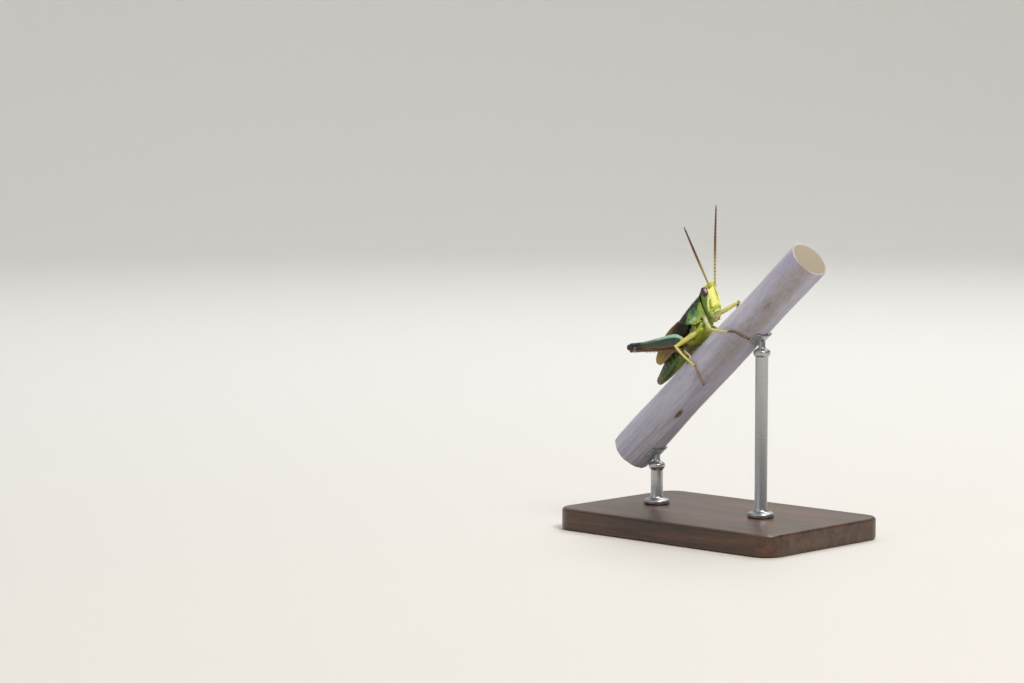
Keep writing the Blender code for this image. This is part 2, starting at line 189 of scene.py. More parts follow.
def write_mark(piece: Object, name: str, values: Array) -> None:
    """Gives each vertex a number, which materials read by its name."""
    layer = piece.data.attributes.get(name) or piece.data.attributes.new(name, "FLOAT", "POINT")
    layer.data.foreach_set("value", values.astype(np.float32))


def weld(piece: Object) -> None:
    """Merges a piece's seams and turns its faces outwards."""
    with editing(piece):
        bpy.ops.mesh.select_all(action="SELECT")
        bpy.ops.mesh.remove_doubles(threshold=WELD)
        bpy.ops.mesh.normals_make_consistent(inside=False)
    piece.data.shade_smooth()


def bent_grid(name: str, columns: int, rows: int, shape: Shape) -> Object:
    """Adds a grid and bends it into a form, for the shapes that extruding can't reach.

    Args:
        name: The piece's name.
        columns: Faces round the form.
        rows: Faces along it.
        shape: Gives places in millimetres for shares round and along the form.

    Returns:
        The piece, whose vertices carry "around" and "along".
    """
    grid = bpy.ops.mesh.primitive_grid_add
    piece = added(name, grid, x_subdivisions=columns, y_subdivisions=rows, size=2.0)
    shares = (points_of(piece)[:, :2] + 1.0) / 2.0
    move_points(piece, shape(shares[:, 0], shares[:, 1]) * MM)
    write_mark(piece, "around", shares[:, 0])
    write_mark(piece, "along", shares[:, 1])
    weld(piece)
    return piece


def domed(shape: Shape, start: float, end: float, share: float = 0.05) -> Shape:
    """Closes the two ends of a tube.

    Args:
        shape: The open tube.
        start: How far the first end's dome stands out, in millimetres.
        end: The same at the last end.
        share: The share of the rows that each dome takes.

    Returns:
        The closed form.
    """
    ring = np.linspace(0.0, 1.0, 64, endpoint=False)
    hearts, leans = [], []
    for place, inner in ((0.0, 0.04), (1.0, 0.96)):
        heart = shape(ring, np.full(len(ring), place)).mean(0)
        lean = heart - shape(ring, np.full(len(ring), inner)).mean(0)
        hearts.append(heart)
        leans.append(lean / np.linalg.norm(lean))

    def closed(around: Array, along: Array) -> Array:
        """The tube with its domes."""
        points = shape(around, np.clip((along - share) / (1.0 - 2.0 * share), 0.0, 1.0))
        ends = ((along, start, 0), (1.0 - along, end, 1))
        for place, height, which in ends:
            turn = np.clip(place / share, 0.0, 1.0)[:, None] * math.pi / 2.0
            lifted = hearts[which] + (points - hearts[which]) * np.sin(turn)
            lifted += leans[which] * height * np.cos(turn)
            points = np.where(turn < math.pi / 2.0, lifted, points)
        return points

    return closed


def tube(stations: Stations, up: Point = (0.0, 0.0, 1.0), corner: float = 1.0) -> Shape:
    """A limb along a smooth line.

    Args:
        stations: Rows of (x, y, z, half depth above, half depth below, half thickness).
        up: The way that "above" leans.
        corner: Under 1 squares the section's corners.

    Returns:
        The open tube, whose "around" starts above.
    """
    upward = np.array(up, float)

    def shape(around: Array, along: Array) -> Array:
        """The limb's surface."""
        rows = stations.at(along)
        ahead = stations.at(along + 0.01)[:, :3] - stations.at(along - 0.01)[:, :3]
        ahead /= np.linalg.norm(ahead, axis=1, keepdims=True)
        above = upward - ahead * (ahead @ upward)[:, None]
        above /= np.linalg.norm(above, axis=1, keepdims=True)
        side = np.cross(above, ahead)
        rise, out = np.cos(TAU * around), np.sin(TAU * around)
        rise, out = swell(rise, corner), swell(out, corner)
        depth = np.where(rise > 0.0, rows[:, 3], rows[:, 4])
        return rows[:, :3] + above * (rise * depth)[:, None] + side * (out * rows[:, 5])[:, None]

    return shape


def along_line(start: Point, end: Point, profile: Sequence[Sequence[float]]) -> Stations:
    """Stations of a straight limb.

    Args:
        start: Its first end.
        end: Its last end.
        profile: Evenly spread rows of (half depth above, half depth below, half thickness).

    Returns:
        The stations for tube().
    """
    shares = np.linspace(0.0, 1.0, len(profile))[:, None]
    line = np.array(start) + (np.array(end) - np.array(start)) * shares
    return Stations(*np.hstack([line, np.array(profile)]))


def round_line(path: Sequence[Point], radii: Sequence[float]) -> Stations:
    """Stations of a round limb through a few points, with a radius at each."""
    return Stations(*[(*point, radius, radius, radius) for point, radius in zip(path, radii)])


def mirrored(side: int, *points: Point) -> list[Point]:
    """Gives points of the left side, or their mirror images where the side is -1."""
    return [(x, side * y, z) for x, y, z in points]


def turned(name: str, profile: Path, sides: int) -> Object:
    """Extrudes and scales a disc into a turned piece on the X axis.

    Args:
        name: The piece's name.
        profile: Points of (place along X, radius), in millimetres.
        sides: Faces round it.

    Returns:
        The piece, standing on its first point.
    """
    place, radius = profile[0]
    piece = added(
        name, bpy.ops.mesh.primitive_circle_add, vertices=sides, radius=radius * MM, fill_type="NGON",
        location=(place * MM, 0.0, 0.0), rotation=(0.0, math.pi / 2.0, 0.0),
    )
    with editing(piece):
        bpy.ops.mesh.select_all(action="SELECT")
        for next_place, next_radius in profile[1:]:
            step = {"value": ((next_place - place) * MM, 0.0, 0.0)}
            bpy.ops.mesh.extrude_region_move(TRANSFORM_OT_translate=step)
            ratio = next_radius / radius
            middle = (next_place * MM, 0.0, 0.0)
            bpy.ops.transform.resize(value=(1.0, ratio, ratio), center_override=middle)
            place, radius = next_place, next_radius
    weld(piece)
    return piece


def ball(
    name: str, faces: tuple[int, int], radius: float, middle: Point, half: Point, tip: float = 0.0
) -> Object:
    """Adds a smooth ball.

    Args:
        name: The piece's name.
        faces: Faces round it and from pole to pole.
        radius: Its radius in millimetres, before it is stretched.
        middle: Where it sits, in metres.
        half: How much it is stretched each way.
        tip: How far it leans back, in degrees.

    Returns:
        The ball.
    """
    piece = added(
        name, bpy.ops.mesh.primitive_uv_sphere_add, segments=faces[0], ring_count=faces[1],
        radius=radius * MM, location=middle, rotation=(0.0, math.radians(tip), 0.0), scale=half,
    )
    piece.data.shade_smooth()
    return piece


def copies(name: str, model: Object, places: Sequence[Matrix], roots: Array | None = None) -> Object:
    """Copies one small model to many places as one mesh, and removes the model.

    Args:
        name: The piece's name.
        model: What is copied.
        places: Where the copies go.
        roots: Each copy's root on an unwrap of the surface it grows from, for a coat.

    Returns:
        The joined piece.
    """
    corners = np.hstack([points_of(model), np.ones((len(model.data.vertices), 1))])
    faces = [tuple(face.vertices) for face in model.data.polygons]
    smooth_faces = model.data.polygons[0].use_smooth
    points, all_faces = [], []
    for index, place in enumerate(places):
        points.append((corners @ np.array(place).T)[:, :3])
        shift = index * len(corners)
        all_faces += [tuple(corner + shift for corner in face) for face in faces]
    mesh = bpy.data.meshes.new(name)
    mesh.from_pydata(np.vstack(points).tolist(), [], all_faces)
    piece = bpy.data.objects.new(name, mesh)
    bpy.context.scene.collection.objects.link(piece)
    if roots is not None:
        loops = np.zeros(len(mesh.loops), int)
        mesh.loops.foreach_get("vertex_index", loops)
        height = corners[:, 2] / corners[:, 2].max()
        turn = np.arctan2(corners[:, 1], corners[:, 0]) / TAU + 0.5
        patch = np.stack([turn, height], 1)[loops % len(corners)] * COAT_PATCH
        layer = mesh.uv_layers.new(name="OFBake")
        layer.uv.foreach_set("vector", (roots[loops // len(corners)] + patch).astype(np.float32).ravel())
    if smooth_faces:
        mesh.shade_smooth()
    bpy.data.objects.remove(model)
    return piece


def joined(name: str, pieces: Sequence[Object]) -> Object:
    """Joins pieces into one."""
    select(*pieces)
    bpy.ops.object.join()
    pieces[0].name = pieces[0].data.name = name
    return pieces[0]


def turn_to(ahead: Vector, up: Vector = Vector((0.0, 0.0, 1.0))) -> Matrix:
    """A turn that sends +Z along a direction, with +X on the side nearest to up."""
    ahead = ahead.normalized()
    across = (up - ahead * up.dot(ahead)).normalized()
    return Matrix((across, ahead.cross(across), ahead)).transposed().to_4x4()


def bristle_model(sides: int = 4, root: float = 0.06, tip: float = 0.008, bend: float = 0.12) -> Object:
    """One bristle, a slender cone a millimetre long that leans over a little towards its tip."""
    bristle = added(
        "bristle", bpy.ops.mesh.primitive_cone_add, vertices=sides, radius1=root * MM, radius2=tip * MM,
        depth=MM, location=(0.0, 0.0, MM / 2.0),
    )
    with editing(bristle):
        bpy.ops.mesh.select_all(action="DESELECT")
    for vertex in bristle.data.vertices:
        vertex.select = vertex.co.z > MM / 2.0
    with editing(bristle):
        bpy.ops.transform.translate(value=(bend * MM, 0.0, 0.0))
    bristle.data.shade_smooth()
    return bristle


class View(Enum):
    """A direction that marks are laid out from: the axes seen, the axis looked along and its sign."""

    SIDE = (0, 2, 1, 0)
    FRONT = (1, 2, 0, 1)
    TOP = (0, 1, 2, 1)
    BELOW = (0, 1, 2, -1)


class Skin:
    """A piece's surface while it is carved and painted, alike on both sides of the body.

    On a round limb, "rise" goes from 1 on its upper side to -1 below, and "out" does so across it.
    """

    def __init__(self, piece: Object) -> None:
        """Reads the surface in millimetres."""
        self.piece = piece
        self.points = points_of(piece) / MM
        normals = np.zeros(self.points.size)
        piece.data.vertices.foreach_get("normal", normals)
        self.normals = normals.reshape(-1, 3)
        self.around = read_mark(piece, "around")
        self.along = read_mark(piece, "along")
        self.rise, self.out = np.cos(TAU * self.around), np.sin(TAU * self.around)
        self.rest = self.points.copy()
        self.marks: dict[str, Array] = {}

    def facing(self, view: View) -> Array:
        """How squarely each point faces a view, from 0 to 1."""
        _, _, axis, sign = view.value
        lean = self.normals[:, axis]
        return smooth(abs(lean) if sign == 0 else lean * sign, 0.08, 0.4)

    def gap(self, path: Path, view: View) -> Array:
        """How far each point lies from a smooth line laid out in a view, in millimetres."""
        first, second, _, _ = view.value
        flat = self.rest[:, [first, second]].copy()
        for column, axis in enumerate((first, second)):
            if axis == 1:
                flat[:, column] = abs(flat[:, column])
        if len(path) == 1:
            return np.linalg.norm(flat - np.array(path[0]), axis=1)
        line = Stations(*path).at(np.linspace(0.0, 1.0, 8 * len(path)))
        nearest = np.full(len(flat), np.inf)
        for start, end in zip(line, line[1:]):
            step = end - start
            share = np.clip((flat - start) @ step / max(step @ step, 1e-12), 0.0, 1.0)
            nearest = np.minimum(nearest, np.linalg.norm(flat - start - share[:, None] * step, axis=1))
        return nearest

    def press(self, amount: Array) -> None:
        """Moves the surface out by an amount for each point, in millimetres."""
        self.points = self.points + self.normals * amount[:, None]

    def ridges(self, view: View, *rows: tuple[Path, float, float]) -> None:
        """Raises soft ridges of (line, width, height), or sinks grooves where the height is negative."""
        for path, width, height in rows:
            self.press(height * peak(self.gap(path, view), 0.0, width) * self.facing(view))

    def mark(self, name: str, amount: Array | float) -> None:
        """Adds to a named marking, which keeps the strongest of all that is laid on."""
        held = self.marks.get(name, np.zeros(len(self.points)))
        self.marks[name] = np.maximum(held, np.clip(amount, 0.0, 1.0))

    def stripes(self, view: View, *rows: tuple[str, Path, float, float]) -> None:
        """Lays markings of (name, line or point, width, strength) with soft edges."""
        for name, path, width, strength in rows:
            fade = 1.0 - smooth(self.gap(path, view), 0.6 * width, 1.3 * width)
            self.mark(name, strength * fade * self.facing(view))

    def washes(self, view: View, *rows: tuple[str, Path, float, float]) -> None:
        """Lays markings of (name, line or point, width, strength) that fade out evenly."""
        for name, path, width, strength in rows:
            self.mark(name, strength * peak(self.gap(path, view), 0.0, width) * self.facing(view))

    def done(self) -> Object:
        """Writes the carved surface and its markings back to the piece."""
        move_points(self.piece, self.points * MM)
        for name, values in self.marks.items():
            write_mark(self.piece, name, values)
        return self.piece


# ---- Finishes ----


def linear(code: str) -> tuple[float, float, float, float]:
    """Turns an sRGB hex colour to linear light."""
    values = [int(code[i : i + 2], 16) / 255.0 for i in (1, 3, 5)]
    return (*[v / 12.92 if v <= 0.04045 else ((v + 0.055) / 1.055) ** 2.4 for v in values], 1.0)


def add_node(tree: NodeTree, kind: str, settings: dict[str | int, object]) -> Node:
    """Adds a node.

    Args:
        tree: The material's node tree.
        kind: The node's type.
        settings: Its properties and sockets by name or number, with a value or the socket that feeds each.

    Returns:
        The node.
    """
    node = tree.nodes.new(kind)
    for key, value in settings.items():
        if isinstance(value, NodeSocket):
            tree.links.new(value, node.inputs[key])
        elif isinstance(key, int) or key in node.inputs:
            node.inputs[key].default_value = value
        else:
            setattr(node, key, value)
    return node


class Coating:
    """A material while its nodes are laid down. Patterns are sized in real millimetres."""

    def __init__(self, name: str, settings: dict[str, object]) -> None:
        """Starts a material and sets its shader's own sockets."""
        self.material = bpy.data.materials.new(name)
        self.material.use_nodes = True
        self.tree = self.material.node_tree
        self.shader = self.tree.nodes["Principled BSDF"]
        for key, value in settings.items():
            self.shader.inputs[key].default_value = value

    def place(self) -> NodeSocket:
        """Gives the place on the object."""
        return add_node(self.tree, "ShaderNodeTexCoord", {}).outputs["Object"]

    def mapped(self, place: NodeSocket, change: str, amount: Point) -> NodeSocket:
        """Turns or stretches the places, and the patterns with them."""
        return add_node(self.tree, "ShaderNodeMapping", {change: amount, "Vector": place}).outputs[0]

    def noise(
        self, place: NodeSocket, size_mm: float, detail: float, rough: float = 0.5, swirl: float = 0.0
    ) -> NodeSocket:
        """Gives a cloudy pattern."""
        return add_node(self.tree, "ShaderNodeTexNoise", {
            "Scale": 1.0 / (size_mm * MM), "Detail": detail, "Roughness": rough, "Distortion": swirl,
            "Vector": place,
        }).outputs["Fac"]

    def cells(self, place: NodeSocket, size_mm: float, randomness: float = 1.0) -> NodeSocket:
        """Gives how far the nearest of many scattered points is."""
        return add_node(self.tree, "ShaderNodeTexVoronoi", {
            "Scale": 1.0 / (size_mm * MM), "Randomness": randomness, "Vector": place,
        }).outputs["Distance"]

    def spread(self, value: NodeSocket, source: Span = (0.0, 1.0), target: Span = (0.0, 1.0)) -> NodeSocket:
        """Stretches one span of a pattern over another and cuts off the rest."""
        return add_node(self.tree, "ShaderNodeMapRange", {
            "From Min": source[0], "From Max": source[1], "To Min": target[0], "To Max": target[1],
            "Value": value,
        }).outputs[0]

    def laid(self, mark: str) -> NodeSocket:
        """Reads a marking that the surface carries."""
        return add_node(self.tree, "ShaderNodeAttribute", {"attribute_name": mark}).outputs["Fac"]

    def torn(self, mark: str, texture: NodeSocket, ragged: float, span: Span) -> NodeSocket:
        """Reads a marking and breaks up its edge with a texture."""
        rough = add_node(self.tree, "ShaderNodeMath", {
            "operation": "MULTIPLY_ADD", 0: texture, 1: ragged, 2: self.laid(mark),
        })
        return self.spread(rough.outputs[0], span)

    def mixed(self, share: NodeSocket, under: NodeSocket | str, over: NodeSocket | str) -> NodeSocket:
        """Mixes two colours, each a hex code or the socket that gives it."""
        under, over = (linear(colour) if isinstance(colour, str) else colour for colour in (under, over))
        return add_node(self.tree, "ShaderNodeMix", {
            "data_type": "RGBA", 0: share, 6: under, 7: over,
        }).outputs[2]

    def toned(self, colour: NodeSocket | str, tone: NodeSocket, saturation: float = 1.0) -> NodeSocket:
        """Lightens and darkens a colour."""
        colour = linear(colour) if isinstance(colour, str) else colour
        return add_node(self.tree, "ShaderNodeHueSaturation", {
            "Saturation": saturation, "Value": tone, "Color": colour,
        }).outputs[0]

    def raised(
        self, height: NodeSocket, depth_mm: float, strength: float = 1.0, below: NodeSocket | None = None
    ) -> NodeSocket:
        """Raises the surface by a pattern, over what is below."""
        settings = {"Strength": strength, "Distance": depth_mm * MM, "Height": height}
        if below:
            settings["Normal"] = below
        return add_node(self.tree, "ShaderNodeBump", settings).outputs[0]

    def done(
        self, colour: NodeSocket, gloss: NodeSocket | None = None, relief: NodeSocket | None = None
    ) -> Material:
        """Feeds the shader and hands over the material."""
        for name, source in (("Base Color", colour), ("Roughness", gloss), ("Normal", relief)):
            if source:
                self.tree.links.new(source, self.shader.inputs[name])
        return self.material


@dataclass(frozen=True)
class Cuticle:
    """Living cuticle: a waxy, slightly clear shell over pigment, pitted and mottled.

    The wax gives a soft second highlight, and the pigment under it goes from one hue to another in patches.
    """

    name: str
    base: str
    mottle: str
    marks: tuple[tuple[str, str], ...] = ()
    mottle_mm: float = 0.55
    ragged: float = 0.36
    ragged_mm: float = 0.14
    fleck: str = ""
    fleck_mm: float = 0.22
    fleck_share: float = 0.3
    pit_mm: float = 0.16
    pit_depth_mm: float = 0.0
    tone_mm: float = 0.14
    grain_mm: float = 0.06
    grain_depth_mm: float = 0.006
    roughness: float = 0.42
    coat: float = 0.2
    flesh: float = 0.15

    def material(self) -> Material:
        """Builds the material."""
        make = Coating(self.name, {
            "IOR": 1.53, "Coat Weight": self.coat, "Coat Roughness": 0.28, "Coat IOR": 1.45,
            "Subsurface Weight": self.flesh, "Subsurface Radius": (0.9, 0.7, 0.25),
            "Subsurface Scale": 0.25 * MM,
        })
        place = make.place()
        patches = make.noise(place, self.mottle_mm, 5.0, 0.62, 0.4)
        colour = make.mixed(make.spread(patches, (0.36, 0.64)), self.base, self.mottle)
        if self.fleck:
            dots = make.spread(make.cells(place, self.fleck_mm), (0.3, 0.12), (0.0, self.fleck_share))
            colour = make.mixed(dots, colour, self.fleck)
        tatter = make.noise(place, self.ragged_mm, 3.0, 0.6)
        edge = (self.ragged * 0.5 + 0.24, self.ragged * 0.5 + 0.68)
        for name, code in self.marks:
            colour = make.mixed(make.torn(name, tatter, self.ragged, edge), colour, code)
        fine = make.noise(place, self.tone_mm, 3.0, 0.55)
        colour = make.toned(colour, make.spread(fine, (0.3, 0.7), (0.78, 1.16)), 1.04)
        gloss = make.spread(patches, (0.3, 0.7), (self.roughness - 0.09, self.roughness + 0.1))
        relief = make.raised(make.noise(place, self.grain_mm, 2.0, 0.6), self.grain_depth_mm)
        if self.pit_depth_mm:
            pits = make.spread(make.cells(place, self.pit_mm), (0.05, 0.42))
            relief = make.raised(pits, self.pit_depth_mm, below=relief)
        return make.done(colour, gloss, relief)


@dataclass(frozen=True)
class EyeLens:
    """A compound eye: thousands of tiny clear lenses over dark pigment, drawn coarser than they are.

    The lenses keep the gloss soft and broad, and the pigment is clouded, with a painted pale reflection on
    its front and a painted highlight along its upper rim.
    """

    name: str = "compound_eye"
    dark: str = "#21101c"
    band: str = "#452638"
    # On the compound eyes, pale is a painted reflection and rim a painted highlight; on the simple eyes,
    # pale is their own colour.
    marks: tuple[tuple[str, str], ...] = (("pale", "#cfaab6"), ("rim", "#9fb0b8"))
    cloud_mm: float = 0.3
    lens_mm: float = 0.055
    lens_depth_mm: float = 0.006

    def material(self) -> Material:
        """Builds the material."""
        make = Coating(self.name, {
            "IOR": 1.5, "Roughness": 0.3, "Coat Weight": 0.25, "Coat Roughness": 0.16,
        })
        place = make.place()
        cloud = make.spread(make.noise(place, self.cloud_mm, 4.0), (0.4, 0.66))
        colour = make.mixed(cloud, self.dark, self.band)
        for name, code in self.marks:
            colour = make.mixed(make.laid(name), colour, code)
        lenses = make.cells(place, self.lens_mm, 0.35)
        return make.done(colour, relief=make.raised(lenses, self.lens_depth_mm, 0.6))


@dataclass(frozen=True)
class Feeler:
    """Feeler joints: pale near the head, ringed with brown, then darker, with a pale tip."""

    name: str = "feeler_joints"
    hues: tuple[tuple[float, str], ...] = (
        (0.0, "#b3a73c"), (0.1, "#c6c070"), (0.3, "#bcae6e"), (0.44, "#8d6a3c"), (0.62, "#6a4029"),
        (0.85, "#5b3c2a"), (0.96, "#6e5138"), (1.0, "#a88a66"),
    )
    ring: str = "#3d2a1c"

    def material(self) -> Material:
        """Builds the material."""
        make = Coating(self.name, {"IOR": 1.53, "Roughness": 0.48, "Coat Weight": 0.12})
        ramp = add_node(make.tree, "ShaderNodeValToRGB", {0: make.laid("along")})
        steps = ramp.color_ramp.elements
        steps.remove(steps[1])
        steps[0].color = linear(self.hues[0][1])
        for place, code in self.hues[1:]:
            steps.new(place).color = linear(code)
        return make.done(make.mixed(make.laid("ring"), ramp.outputs[0], self.ring))


@dataclass(frozen=True)
class WingMembrane:
    """A leathery fore wing: a thin amber membrane on darker veins, which lets some light through."""

    name: str = "leathery_wing"
    base: str = "#664a24"
    mottle: str = "#8a6a36"
    marks: tuple[tuple[str, str], ...] = (
        ("amber", "#ab9048"), ("rust", "#5c2d18"), ("vein", "#4a3216"), ("border", "#3d2912"),
        # painted shadow where the wing's root lies behind the pronotum
        ("wing_root_shadow", "#130b05"),
    )
    mottle_mm: float = 0.7
    grain_mm: float = 0.08
    grain_depth_mm: float = 0.008

    def material(self) -> Material:
        """Builds the material."""
        make = Coating(self.name, {
            "IOR": 1.4, "Subsurface Weight": 0.25, "Subsurface Radius": (1.0, 0.6, 0.25),
            "Subsurface Scale": 0.3 * MM, "Coat Weight": 0.05, "Coat Roughness": 0.4,
        })
        place = make.place()
        patches = make.noise(place, self.mottle_mm, 5.0, 0.65)
        colour = make.mixed(make.spread(patches, (0.4, 0.62)), self.base, self.mottle)
        for name, code in self.marks:
            colour = make.mixed(make.laid(name), colour, code)
        grain = make.noise(place, self.grain_mm, 3.0)
        gloss = make.spread(patches, target=(0.38, 0.62))
        return make.done(colour, gloss, make.raised(grain, self.grain_depth_mm))


@dataclass(frozen=True)
class DryStem:
    """The skin of a dead plant stem: weathered silver-lilac fibres with brown stains and a fine speckle.

    The fibres run along the stem, so their pattern is drawn out along its axis.
    """

    name: str = "dry_stem_skin"
    cool: str = "#aeabc0"
    pale: str = "#c5c2cf"
    # Painted shade: a warmer, darker tone for the stem's lower sides.
    lower_side_shade: str = "#9e938f"
    stain: str = "#6f4a33"
    pith: str = "#958b77"
    speck: str = "#8b8087"
    speck_mm: float = 0.3
    fibre_mm: float = 0.26
    blotch_mm: float = 1.3
    broad_mm: float = 2.6
    draw_out: float = 0.12
    pitch: float = STEM_PITCH

    def material(self) -> Material:
        """Builds the material."""
        make = Coating(self.name, {
            "IOR": 1.45, "Sheen Weight": 0.35, "Sheen Roughness": 0.4, "Subsurface Weight": 0.06,
            "Subsurface Radius": (0.6, 0.5, 0.45), "Subsurface Scale": 0.4 * MM,
        })
        lying = make.mapped(make.place(), "Rotation", (0.0, math.radians(self.pitch), 0.0))
        drawn = make.mapped(lying, "Scale", (self.draw_out, 1.0, 1.0))
        fibres = make.noise(drawn, self.fibre_mm, 4.0)
        blotch = make.noise(lying, self.blotch_mm, 6.0, 0.7)
        broad = make.spread(make.noise(drawn, self.broad_mm, 5.0, 0.6), (0.38, 0.64))
        colour = make.mixed(broad, self.cool, self.pale)
        specks = make.spread(make.cells(lying, self.speck_mm), (0.42, 0.05), (0.0, 0.3))
        colour = make.mixed(specks, colour, self.speck)
        for name, code, texture, span in (
            ("lower_side_shade", self.lower_side_shade, blotch, (0.55, 0.95)), ("stain", self.stain, blotch, (0.5, 0.9)),
            ("pith", self.pith, fibres, (0.4, 0.8)),
        ):
            colour = make.mixed(make.torn(name, texture, 0.6, span), colour, code)
        colour = make.toned(colour, make.spread(fibres, (0.3, 0.7), (0.88, 1.07)))
        relief = make.raised(blotch, 0.06, 0.8, make.raised(fibres, 0.035))
        return make.done(colour, make.spread(fibres, target=(0.62, 0.86)), relief)


@dataclass(frozen=True)
class OiledWood:
    """Oiled walnut: dark lengthwise grain with fine pores under a satin film."""

    name: str = "oiled_walnut"
    dark: str = "#2c1c13"
    light: str = "#5b3d28"
    grain_mm: float = 2.2
    pore_mm: float = 0.25

    def material(self) -> Material:
        """Builds the material."""
        make = Coating(self.name, {"IOR": 1.5, "Coat Weight": 0.25, "Coat Roughness": 0.25})
        drawn = make.mapped(make.place(), "Scale", (0.1, 1.0, 1.0))
        grain = make.noise(drawn, self.grain_mm, 8.0, 0.62, 0.8)
        pores = make.noise(drawn, self.pore_mm, 3.0)
        colour = make.mixed(make.spread(grain, (0.34, 0.66)), self.dark, self.light)
        colour = make.toned(colour, make.spread(pores, (0.35, 0.65), (0.72, 1.15)))
        return make.done(colour, make.spread(pores, target=(0.3, 0.5)), make.raised(pores, 0.02))


@dataclass(frozen=True)
class BrushedSteel:
    """Stainless steel, brushed round the rod with a fine belt, which draws the gloss into bands."""

    name: str = "brushed_steel"
    colour: str = "#b9bbbd"
    line_mm: float = 0.3

    def material(self) -> Material:
        """Builds the material."""
        make = Coating(self.name, {"Metallic": 1.0, "Anisotropic": 0.4})
        lines = make.noise(make.mapped(make.place(), "Scale", (0.2, 0.2, 4.0)), self.line_mm, 4.0)
        colour = make.toned(self.colour, make.spread(lines, target=(0.84, 1.08)))
        return make.done(colour, make.spread(lines, target=(0.2, 0.42)), make.raised(lines, 0.006, 0.5))


@dataclass(frozen=True)
class Plain:
    """Stuff of one hue with a faint cloud: horny bristle shafts that catch the light, or matt paper."""

    name: str
    colour: str
    roughness: float
    ior: float = 1.54
    cloud_mm: float = 0.8
    cloud_detail: float = 2.0
    tone: Span = (0.7, 1.2)

    def material(self) -> Material:
        """Builds the material."""
        make = Coating(self.name, {"IOR": self.ior, "Roughness": self.roughness})
        cloud = make.noise(make.place(), self.cloud_mm, self.cloud_detail)
        return make.done(make.toned(self.colour, make.spread(cloud, target=self.tone)))


FINISHES = {
    "face": Cuticle(
        "face_cuticle", "#c0d030", "#aabc38",
        marks=(
            # On the face, the bright mark is partly its own pale yellow and partly a painted highlight.
            ("bright", "#f0f395"), ("olive", "#7d8a1e"), ("gena", "#6d8a38"), ("cream", "#eef0ac"),
            ("moss", "#31481c"), ("black", "#15130d"),
        ),
        mottle_mm=0.35, pit_mm=0.13, pit_depth_mm=0.012, roughness=0.38, coat=0.3,
    ),
    "mouth": Cuticle(
        "mouth_cuticle", "#b4bd6a", "#9aa860",
        marks=(("beige", "#cdb98f"), ("black", "#1a150f"), ("bright", "#dfe59a"), ("brown", "#6a4a2c")),
        mottle_mm=0.3, roughness=0.42,
    ),
    "pronotum": Cuticle(
        "pronotum_cuticle", "#5a8a3e", "#82a84e",
        marks=(
            # On the pronotum, band is painted shade along the upper sides, and teal and pale are painted
            # sheen and highlights.
            ("moss", "#264419"), ("teal", "#558f6e"), ("lime", "#a9c454"), ("pale", "#c6dcb0"),
            ("yellow", "#cdd472"), ("band", "#15200e"), ("disc", "#3a3119"), ("line", "#a59f88"),
            ("rose", "#d8c2b4"), ("black", "#100f0b"),
        ),
        mottle_mm=0.36, ragged=0.7, ragged_mm=0.2, fleck="#cbdd7c", fleck_share=0.85, pit_mm=0.17,
        pit_depth_mm=0.03, roughness=0.34, coat=0.4,
    ),
    "thorax": Cuticle(
        "thorax_cuticle", "#8aa542", "#a3b84e",
        marks=(
            ("olive", "#9aa61c"), ("lime", "#cbdc62"), ("pale", "#dcdcc0"), ("rose", "#d9bfae"),
            ("brown", "#5f551e"), ("black", "#13120c"), ("membrane", "#6f7a34"),
        ),
        mottle_mm=0.4, ragged=0.6, ragged_mm=0.2, fleck="#d6e08a", fleck_share=0.3, pit_mm=0.18,
        pit_depth_mm=0.015, roughness=0.36, coat=0.35,
    ),
    "abdomen": Cuticle(
        "abdomen_cuticle", "#304a12", "#4b6620",
        marks=(
            ("dark", "#1b2510"), ("belly", "#8d9a3e"), ("ash", "#a5a591"), ("cream", "#d8cf9c"),
            ("rust", "#a8632c"), ("tail", "#766a4a"), ("black", "#12110a"),
        ),
        mottle_mm=0.5, ragged=1.3, ragged_mm=0.3, fleck="#7f9a52", fleck_share=0.35, roughness=0.45,
    ),
    "leg": Cuticle(
        "leg_cuticle", "#d8cd76", "#c8c272",
        marks=(
            ("green", "#a4b650"), ("olive", "#a3ac2a"), ("pale", "#c6cca8"), ("rose", "#d4b5a2"),
            ("brown", "#5d3d22"), ("black", "#17120c"),
        ),
        mottle_mm=0.45, fleck="#8b7a4a", fleck_share=0.35, roughness=0.4,
    ),
    "thigh": Cuticle(
        "thigh_cuticle", "#1d4534", "#163728",
        marks=(
            ("teal", "#8fb89e"), ("olive", "#6a7451"), ("brown", "#46350f"), ("russet", "#553a14"),
            # the teal on the top of the black knee is a painted highlight
            ("line", "#b79a6a"), ("knee", "#07110f"), ("knee_highlight", "#3f6f66"), ("rose", "#a58f8a"),
            ("straw", "#b9ab62"),
        ),
        mottle_mm=0.5, fleck="#a9a06a", fleck_share=0.12, pit_mm=0.2, pit_depth_mm=0.01, roughness=0.36,
        coat=0.3,
    ),
    "shin": Cuticle(
        "shin_cuticle", "#5a3c19", "#6e4d24",
        marks=(("straw", "#a5864a"), ("black", "#150f0c"), ("pale", "#cdb79a")), mottle_mm=0.5,
    ),
    "foot": Cuticle(
        "foot_cuticle", "#8c6a48", "#6d4a30",
        marks=(("pale", "#d6bfae"), ("straw", "#a08a55"), ("black", "#1a120c")), mottle_mm=0.35,
    ),
    "claw": Cuticle("claw_horn", "#2a1a10", "#4a2e1a", mottle_mm=0.3, roughness=0.3, coat=0.4, flesh=0.0),
    "spine": Cuticle("spine_horn", "#c8b07a", "#a88a58", mottle_mm=0.5, roughness=0.35, flesh=0.05),
    "eye": EyeLens(),
    "feeler": Feeler(),
    "wing": WingMembrane(),
    "stem": DryStem(),
    "wood": OiledWood(),
    "steel": BrushedSteel(),
    "hair": Plain("body_bristles", "#b9ab86", 0.5),
    "down": Plain("stem_down", "#d3d0d8", 0.7),
    "paper": Plain("background_paper", "#cfceca", 0.9, 1.5, 1.0 / 0.9, 3.0, (0.99, 1.01)),
}


# ---- Frames and delivery ----


